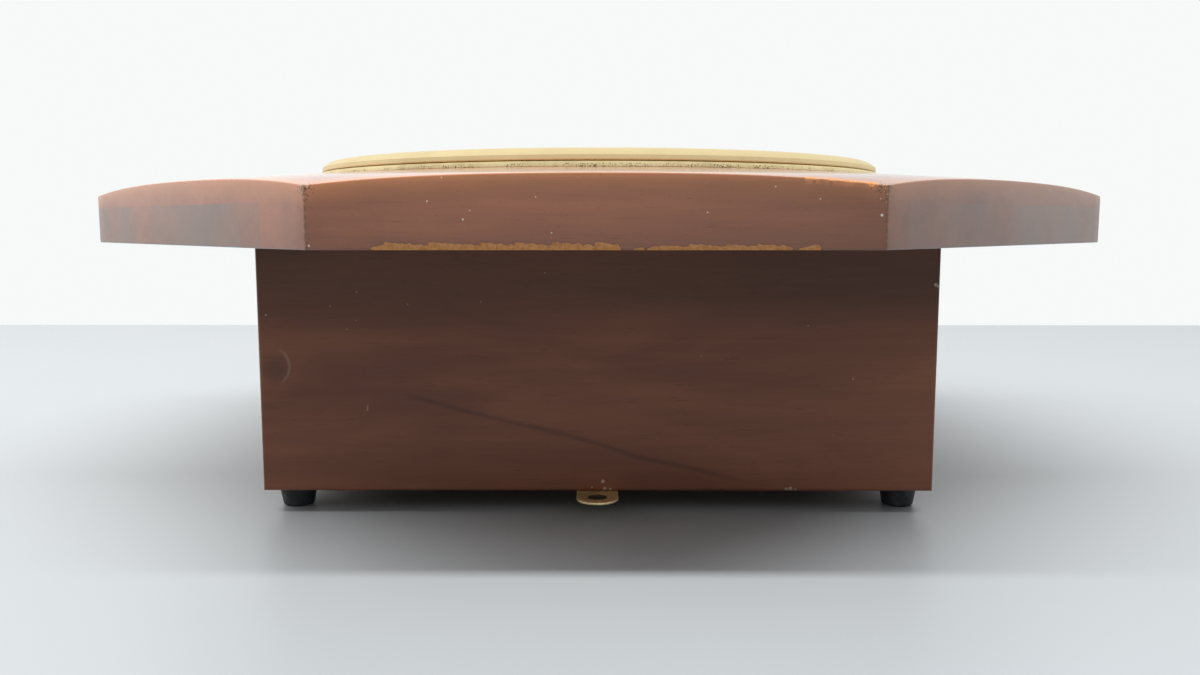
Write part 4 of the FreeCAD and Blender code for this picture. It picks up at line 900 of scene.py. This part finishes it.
def build_bezel_ring():
    """The hinged ring: a small roll at its foot, an upright wall and a convex band up to the rim."""
    outer = (BEZEL_HIGH.x - BEZEL_LOW.x) / 2
    bottom, top = BEZEL_LOW.z, BEZEL_HIGH.z
    underside = BOARD_LOW.z
    wall_top = underside + 24.3 * MM
    rim, rim_top = 93.3 * MM, top - 0.08 * MM
    lip, lip_height = 89.0 * MM, underside + 25.6 * MM
    seat, seat_height = 91.4 * MM, underside + 25.05 * MM
    sheet = 1.0 * MM
    roll = 0.5 * MM
    foot = arc_points((outer - sheet, bottom + 0.05 * MM), (outer - 0.25 * MM, bottom + roll), 0.28 * MM, 8)
    band = arc_points((outer - 0.25 * MM, wall_top), (rim, rim_top), 0.45 * MM, 14)
    rim_roll = arc_points((rim, rim_top), (lip, lip_height), 0.35 * MM, 12)
    profile = [*foot, (outer - 0.25 * MM, bottom + roll + 0.1 * MM), *band, *rim_roll[1:],
               (lip, seat_height), (seat, seat_height), (seat, bottom), (seat + sheet, bottom),
               (seat + sheet, wall_top), (rim, wall_top + 0.6 * MM),
               (outer - sheet - 0.1 * MM, wall_top - 0.8 * MM)]
    shape = bmesh.new()
    lathe(shape, profile, RING_STEPS)
    return finished_mesh("bezel_band", shape)


def build_dome_glass():
    """A shallow spherical cap of even thickness with a ground edge."""
    radius = (GLASS_HIGH.x - GLASS_LOW.x) / 2
    thickness = 1.5 * MM
    rise = GLASS_HIGH.z - GLASS_LOW.z - thickness
    steps = 20
    curve = (radius**2 + rise**2) / (2 * rise)

    def lift(r):
        return math.sqrt(curve**2 - r**2) - (curve - rise)

    radii = [radius * i / steps for i in range(steps + 1)]
    lower = [(r, GLASS_LOW.z + lift(r)) for r in radii]
    upper = [(r, GLASS_LOW.z + thickness + lift(r)) for r in reversed(radii)]
    shape = bmesh.new()
    lathe(shape, lower + upper, 192)
    return finished_mesh("dome_glass", shape)


def foot_centres():
    return [(side_x - sign_x * FOOT_RADIUS, side_y - sign_y * FOOT_RADIUS)
            for side_x, sign_x in ((FEET_LOW.x, -1), (FEET_HIGH.x, 1))
            for side_y, sign_y in ((FEET_LOW.y, -1), (FEET_HIGH.y, 1))]


def build_feet():
    """Four tapered bumpers with rounded soles and a recess for the screw."""
    top_radius, bottom_radius, height = FOOT_RADIUS, 4.5 * MM, FEET_HIGH.z - FEET_LOW.z
    recess, recess_depth, bore, sole = 2.95 * MM, 2.4 * MM, 1.5 * MM, 0.9 * MM
    sole_arc = [(bottom_radius - sole + sole * math.sin(a), sole - sole * math.cos(a))
                for a in [math.pi / 2 * i / 6 for i in range(7)]]
    profile = [(recess, 0.3 * MM), (recess + 0.3 * MM, 0.0), *sole_arc,
               (top_radius - 0.15 * MM, height - 0.5 * MM), (top_radius, height - 0.2 * MM),
               (top_radius - 0.1 * MM, height), (bore, height), (bore, recess_depth), (recess, recess_depth)]
    shape = bmesh.new()
    for x, y in foot_centres():
        lathe(shape, profile, 64, Matrix.Translation((x, y, 0)))
    return finished_mesh("bumper_feet", shape)


def build_strap():
    """The hanging plate: a stamped strap with a round end, an eye and two screw holes."""
    half, back = STRAP_HALF, STRAP_HIGH.y
    thickness = STRAP_HIGH.z - STRAP_LOW.z
    eye = STRAP_EYE[:2]
    outside = circle_points(*eye, half, 40, math.pi, math.pi)
    outside += [(half, back - 1 * MM), (half - 1 * MM, back), (-half + 1 * MM, back), (-half, back - 1 * MM)]
    wall_middle = (PANEL_LOW.y + PANEL_HIGH.y) / 2
    wall = PANEL_HIGH.y - PANEL_LOW.y
    screw_hole = 1.35 * MM
    holes = [circle_points(*eye, 2.25 * MM, 40), circle_points(0, wall_middle, screw_hole, 24),
             circle_points(0, wall_middle + wall, screw_hole, 24)]
    shape = flat_outline("strap", [outside, *holes], thickness, 0.18 * MM)
    bmesh.ops.translate(shape, verts=shape.verts, vec=(0, 0, STRAP_EYE[2]))
    return finished_mesh("strap", shape)


def build_winding_key():
    """A butterfly key: two pierced lobes on a turned socket."""
    low, high = KEY_LOW, KEY_HIGH
    middle_y, middle_z = (low.y + high.y) / 2, (low.z + high.z) / 2
    lobe = 8.5 * MM
    spread = (high.z - low.z) / 2 - lobe
    hole = 4.0 * MM
    reach = low.x + lobe
    waist = 3.6 * MM
    start = math.asin(waist / lobe)
    far_lobe = circle_points(spread, 0, lobe, 44, -math.pi + start, 2 * (math.pi - start))
    near_lobe = circle_points(-spread, 0, lobe, 44, start, 2 * (math.pi - start))
    holes = [circle_points(side * (spread + 0.6 * MM), 0, hole, 32) for side in (-1, 1)]
    shape = flat_outline("key_wings", [far_lobe + near_lobe, *holes], 2.6 * MM, 0.5 * MM)
    # The outline's X runs along Z on the key and its Y along -X.
    stand = Matrix(((0, 1, 0, reach), (0, 0, 1, middle_y), (1, 0, 0, middle_z), (0, 0, 0, 1)))
    bmesh.ops.transform(shape, matrix=stand, verts=shape.verts)
    socket, bore, groove = 4.5 * MM, 2.5 * MM, 4.15 * MM
    start_x = -114 * MM
    length = high.x - start_x
    profile = [(0, 0), (1.6 * MM, 0), (3.4 * MM, 0.9 * MM), (3.7 * MM, 3.0 * MM), (4.2 * MM, 3.6 * MM),
               (socket, 4.4 * MM), (socket, length - 1.9 * MM), (groove, length - 1.6 * MM),
               (groove, length - 1.2 * MM), (socket, length - 0.9 * MM), (socket, length - 0.3 * MM),
               (socket - 0.3 * MM, length), (bore, length), (bore, 2.0 * MM), (0, 2.0 * MM)]
    along_x = Matrix(((0, 0, 1, start_x), (1, 0, 0, middle_y), (0, 1, 0, middle_z), (0, 0, 0, 1)))
    lathe(shape, profile, 56, along_x)
    return finished_mesh("butterfly_key", shape)


# ---------------------------------------------------------------- movement


def cylinder_axis():
    centre = (CYLINDER_LOW + CYLINDER_HIGH) / 2
    return centre.y, centre.z


def build_tune_pins(tracks=50, pitch=1.3 * MM, seed=11):
    """Hundreds of small pins in 50 tracks round the cylinder, set at random beats."""
    axis_y, axis_z = cylinder_axis()
    radius = (CYLINDER_HIGH.z - CYLINDER_LOW.z) / 2
    pin_radius, pin_height = 0.2 * MM, 0.85 * MM
    draw = random.Random(seed)
    shape = bmesh.new()
    for track in range(tracks):
        x = (track - (tracks - 1) / 2) * pitch
        for beat in range(64):
            if draw.random() > 0.17:
                continue
            angle = 2 * math.pi * (beat + draw.uniform(-0.12, 0.12)) / 64
            outward = Vector((0, math.cos(angle), math.sin(angle)))
            side = Vector((0, -outward.z, outward.y))
            foot = Vector((x, axis_y, axis_z)) + outward * (radius - 0.05 * MM)
            base, tip = [], []
            for i in range(6):
                turn = 2 * math.pi * i / 6
                spoke = Vector((1, 0, 0)) * math.cos(turn) + side * math.sin(turn)
                base.append(shape.verts.new(foot + spoke * pin_radius))
                tip.append(shape.verts.new(foot + spoke * pin_radius * 0.8 + outward * pin_height))
            bridge(shape, base, tip)
            shape.faces.new(tip)
            shape.faces.new(list(reversed(base)))
    return finished_mesh("tune_pins", shape)


def build_screw_thread(starts=3, axial_pitch=1.885 * MM):
    """The governor screw's three-start thread, wound on its core."""
    centre = (SCREW_LOW + SCREW_HIGH) / 2
    axis_z = cylinder_axis()[1]
    root, crest, half_length = 1.35 * MM, 2.2 * MM, 5.6 * MM
    half_root, half_crest = 0.42 * MM, 0.14 * MM
    lead = starts * axial_pitch
    steps = 96
    shape = bmesh.new()
    for start in range(starts):
        sections = []
        for i in range(steps + 1):
            height = -half_length + 2 * half_length * i / steps
            angle = -math.pi / 2 + 2 * math.pi * (height / lead + start / starts)
            outward = Vector((math.cos(angle), math.sin(angle), 0))
            base = Vector((centre.x, centre.y, axis_z + height))
            lift = Vector((0, 0, 1))
            sections.append([shape.verts.new(base + outward * root - lift * half_root),
                             shape.verts.new(base + outward * crest - lift * half_crest),
                             shape.verts.new(base + outward * crest + lift * half_crest),
                             shape.verts.new(base + outward * root + lift * half_root)])
        for lower, upper in zip(sections, sections[1:]):
            bridge(shape, lower, upper)
        shape.faces.new(list(reversed(sections[0])))
        shape.faces.new(sections[-1])
    return finished_mesh("screw_thread", shape)


# ---------------------------------------------------------------- operators


def settings():
    return bpy.context.scene.music_box_board, bpy.context.scene.music_box_finish


class MUSICBOX_OT_effects(bpy.types.Operator):
    """Builds the node groups that the finishes share"""
    bl_idname = "music_box.effects"
    bl_label = "Shared effects"

    def execute(self, context):
        build_wood_grain()
        build_specks()
        build_brass_age()
        return {"FINISHED"}


EASED_PARTS = ("front_panel", "rear_panel", "left_panel", "right_panel", "bottom_panel", "comb_base",
               "movement_rails", "top_cleats", "bottom_cleats", "governor_frame")


def ease_edges(obj, width):
    """Rounds the sharp edges of a frame part without leaving its outline."""
    obj.modifiers.new("Join", "WELD").merge_threshold = 0.00001
    bevel = obj.modifiers.new("Ease", "BEVEL")
    bevel.width = width
    bevel.segments = 3
    bevel.limit_method = "ANGLE"
    bevel.angle_limit = math.radians(50)
    bevel.harden_normals = True


class MUSICBOX_OT_frame_finishes(bpy.types.Operator):
    """Gives every part of the frame the finish of its material"""
    bl_idname = "music_box.frame_finishes"
    bl_label = "Frame finishes"

    def execute(self, context):
        finish = context.scene.music_box_finish
        made = {
            "stained_wood": plain_panel_finish("side_panel_stain", finish, math.pi / 2),
            "plain_wood": plain_wood_finish(),
            "polished_brass": brass_finish("movement_brass", finish, 0.35, 0.3, 0.18),
            "aged_brass": brass_finish("dull_brass", finish, 0.9, 0.7, 0.34),
            "clear_glass": glass_finish(),
            "black_rubber": rubber_finish(),
            "steel": steel_finish(),
            "iron": iron_finish(),
        }
        front = front_panel_finish(finish)
        rear = plain_panel_finish("rear_panel_stain", finish, 0.0)
        own = {"front_panel": front, "rear_panel": rear}
        slots = {part["node"]: part["material_slot"] for part in frame["record"]["subparts"]}
        for name, obj in frame["nodes"].items():
            obj.data.materials.clear()
            obj.data.materials.append(own.get(name, made[slots[name]]))
        for name in EASED_PARTS:
            ease_edges(frame["nodes"][name], 0.5 * MM if name.endswith("_panel") else 0.3 * MM)
        return {"FINISHED"}


class MUSICBOX_OT_turned_top(bpy.types.Operator):
    """Builds the turned eight-sided top board with its chipped front edge"""
    bl_idname = "music_box.turned_top"
    bl_label = "Turned top board"

    def execute(self, context):
        board, finish = settings()
        mesh = build_turned_top(board)
        obj = new_piece("turned_top", mesh, top_board_finish(finish), "case", ("top_board",))
        cut_leaf_seat(obj)
        mark_sharp(obj.data, 50)
        return {"FINISHED"}


class MUSICBOX_OT_bezel(bpy.types.Operator):
    """Builds the brass base ring, the hinged bezel ring and the domed glass"""
    bl_idname = "music_box.bezel"
    bl_label = "Glazed bezel"

    def execute(self, context):
        finish = context.scene.music_box_finish
        base = brass_finish("base_ring_brass", finish, 0.35, 0.75, 0.36, BASE_RING_LOW.z + 0.7 * MM)
        band = brass_finish("bezel_brass", finish, 0.08, 0.4, 0.42, BEZEL_LOW.z)
        for name, mesh, material, body, node in (
                ("base_ring", build_base_ring(), base, "case", "bezel_base_ring"),
                ("bezel_band", build_bezel_ring(), band, "bezel", "bezel_ring")):
            mark_sharp(mesh, 35)
            new_piece(name, mesh, material, body, (node,))
        glass = build_dome_glass()
        mark_sharp(glass, 35)
        new_piece("dome_glass", glass, bpy.data.materials["domed_glass"], "bezel",
                  ("bezel_glass",))
        return {"FINISHED"}


class MUSICBOX_OT_feet(bpy.types.Operator):
    """Builds the four rubber bumpers"""
    bl_idname = "music_box.feet"
    bl_label = "Bumper feet"

    def execute(self, context):
        mesh = build_feet()
        mark_sharp(mesh, 50)
        new_piece("bumper_feet", mesh, bpy.data.materials["moulded_rubber"], "case",
                  ("rubber_feet",))
        return {"FINISHED"}


class MUSICBOX_OT_strap(bpy.types.Operator):
    """Builds the stamped hanging plate under the front edge"""
    bl_idname = "music_box.strap"
    bl_label = "Hanging plate"

    def execute(self, context):
        mesh = build_strap()
        mark_sharp(mesh, 35)
        new_piece("hanging_strap", mesh, strap_finish(context.scene.music_box_finish), "case",
                  ("hanging_plate",))
        return {"FINISHED"}


class MUSICBOX_OT_key(bpy.types.Operator):
    """Builds the winding key on the left side"""
    bl_idname = "music_box.key"
    bl_label = "Winding key"

    def execute(self, context):
        mesh = build_winding_key()
        mark_sharp(mesh, 35)
        new_piece("butterfly_key", mesh, bpy.data.materials["movement_brass"], "winder",
                  ("winding_key",))
        return {"FINISHED"}


class MUSICBOX_OT_movement(bpy.types.Operator):
    """Adds the tune pins on the cylinder and the thread on the governor's screw"""
    bl_idname = "music_box.movement"
    bl_label = "Movement details"

    def execute(self, context):
        steel = bpy.data.materials["drawn_steel"]
        new_piece("tune_pins", build_tune_pins(), steel, "cylinder", smooth=False)
        thread = build_screw_thread()
        mark_sharp(thread, 35)
        new_piece("screw_thread", thread, steel, "governor")
        return {"FINISHED"}


class MUSICBOX_OT_stage(bpy.types.Operator):
    """Sets the pale table, the soft light and the camera"""
    bl_idname = "music_box.stage"
    bl_label = "Stage"

    def execute(self, context):
        stage = context.scene.music_box_stage
        build_table(stage)
        build_world()
        build_lights(stage)
        build_camera(stage)
        context.scene.view_settings.view_transform = "Standard"
        return {"FINISHED"}


def flat_sheet(name, low, high, height, material):
    mesh = bpy.data.meshes.new(name)
    mesh.from_pydata([(low[0], low[1], height), (high[0], low[1], height), (high[0], high[1], height),
                      (low[0], high[1], height)], [], [(0, 1, 2, 3)])
    mesh.materials.append(material)
    placed(name, mesh)


def build_table(stage):
    """A pale table with faint stains, and a white sheet beyond its back edge."""
    material, tree, shader, place = new_finish("table_top", Specular_IOR_Level=0.5)
    cloud = noise_value(tree, place, 5.0, 4.0, 0.6)
    marks = use_group(tree, "Specks", {"Vector": place, "Spacing": 14.0, "Share": 0.12, "Size": 0.03})
    grey = tuple(stage.table_colour)
    paler = tuple(min(1, c * 1.06) for c in grey[:3]) + (1,)
    colour = mix_colour(tree, cloud, grey, paler)
    colour = tinted(tree, colour, marks.outputs["Mask"], 0.25, (0.22, 0.24, 0.26, 1))
    smears = noise_value(tree, stretched(tree, place, (1.0, 2.6, 1.0)), 26.0, 5.0, 0.62, 0.6)
    colour = tinted(tree, colour, between(tree, smears, 0.66, 0.80), 0.30, (0.25, 0.26, 0.26, 1))
    feed(tree, shader, {"Base Color": colour, "Roughness": calc(tree, "MULTIPLY_ADD", cloud, 0.15, 0.30)})
    flat_sheet("table", (-2.5, -2.0), (2.5, stage.table_back), 0.0, material)
    white = bpy.data.materials.new("white_surround")
    white.use_nodes = True
    glow = add(white.node_tree, "ShaderNodeEmission", {"Color": WALL_WHITE, "Strength": 1.0})
    white.node_tree.links.new(glow.outputs[0], white.node_tree.nodes["Material Output"].inputs["Surface"])
    flat_sheet("surround", (-2.5, stage.table_back), (2.5, stage.table_back + 3.0), 0.0, white)


def build_world():
    """White to the eye; as a light it is bright behind, most on the left, and dim low in front.

    Reflections see a more even room than the light that the surfaces scatter."""
    world = bpy.data.worlds.new("studio")
    bpy.context.scene.world = world
    world.use_nodes = True
    tree = world.node_tree
    x, y, z = split(tree, tree.nodes.new("ShaderNodeTexCoord").outputs["Generated"])
    walls = mix_colour(tree, between(tree, x, -0.6, 0.7), (1.45, 1.44, 1.42, 1), (1.02, 1.02, 1.02, 1))
    walls = tinted(tree, walls, between(tree, z, 0.022, 0.010), 0.5, (0.05, 0.06, 0.07, 1))
    rays = add(tree, "ShaderNodeLightPath")
    front = mix_colour(tree, between(tree, z, 0.12, 0.60), (0.10, 0.10, 0.11, 1), (0.55, 0.55, 0.55, 1))
    front = mix_colour(tree, rays.outputs["Is Glossy Ray"], front, (0.68, 0.69, 0.69, 1))
    room = mix_colour(tree, between(tree, y, 0.15, -0.25), walls, front)
    room = tinted(tree, room, rays.outputs["Is Glossy Ray"], 0.6, (0.84, 0.85, 0.85, 1))
    seen = mix_colour(tree, rays.outputs["Is Camera Ray"], room, WALL_WHITE)
    tree.links.new(seen, tree.nodes["Background"].inputs["Color"])


def soft_light(name, location, target, size, power, colour):
    data = bpy.data.lights.new(name, "AREA")
    data.shape = "RECTANGLE"
    data.size, data.size_y = size
    data.energy = power
    data.color = colour
    obj = placed(name, data)
    obj.location = location
    obj.rotation_euler = (Vector(target) - Vector(location)).to_track_quat("-Z", "Y").to_euler()
    obj.visible_glossy = False


def build_lights(stage):
    soft_light("ceiling_lamp", (-0.35, -0.30, 1.5), (-0.35, -0.15, 0.0), (3.0, 0.12), stage.lamp_power,
               (1, 0.98, 0.95))
    soft_light("left_window", (-1.4, 0.1, 0.6), (-0.1, -0.1, 0.08), (0.9, 0.7), stage.side_power,
               (1, 0.97, 0.93))


def build_camera(stage):
    data = bpy.data.cameras.new("camera")
    data.lens = stage.lens
    data.sensor_width = 36.0
    data.clip_start = 0.01
    camera = placed("camera", data)
    camera.location = (1.8 * MM, -stage.camera_distance, stage.camera_height)
    camera.rotation_euler = (math.pi / 2 - stage.camera_pitch, 0.0, math.radians(0.23))
    bpy.context.scene.camera = camera


# ---------------------------------------------------------------- panel and registration


STEPS = (
    ("effects", MUSICBOX_OT_effects),
    ("frame_finishes", MUSICBOX_OT_frame_finishes),
    ("turned_top", MUSICBOX_OT_turned_top),
    ("bezel", MUSICBOX_OT_bezel),
    ("feet", MUSICBOX_OT_feet),
    ("strap", MUSICBOX_OT_strap),
    ("key", MUSICBOX_OT_key),
    ("movement", MUSICBOX_OT_movement),
    ("stage", MUSICBOX_OT_stage),
)
SETTINGS = (
    ("music_box_board", BoardSettings),
    ("music_box_finish", FinishSettings),
    ("music_box_stage", StageSettings),
)


class MUSICBOX_PT_panel(bpy.types.Panel):
    """Lists the steps and the settings of the music box"""
    bl_idname = "MUSICBOX_PT_panel"
    bl_label = "Wind-Up Music Box"
    bl_space_type = "VIEW_3D"
    bl_region_type = "UI"
    bl_category = "Music Box"

    def draw(self, context):
        for name, operator in STEPS:
            self.layout.operator(operator.bl_idname)
        for name, group in SETTINGS:
            column = self.layout.column(align=True)
            for key in group.__annotations__:
                column.prop(getattr(context.scene, name), key)


def register():
    for name, group in SETTINGS:
        bpy.utils.register_class(group)
        setattr(bpy.types.Scene, name, bpy.props.PointerProperty(type=group))
    for name, operator in STEPS:
        bpy.utils.register_class(operator)
    bpy.utils.register_class(MUSICBOX_PT_panel)


def unregister():
    bpy.utils.unregister_class(MUSICBOX_PT_panel)
    for name, operator in reversed(STEPS):
        bpy.utils.unregister_class(operator)
    for name, group in reversed(SETTINGS):
        delattr(bpy.types.Scene, name)
        bpy.utils.unregister_class(group)


def main():
    register()
    for name, operator in STEPS:
        getattr(bpy.ops.music_box, name)()


if __name__ == "__main__":
    main()
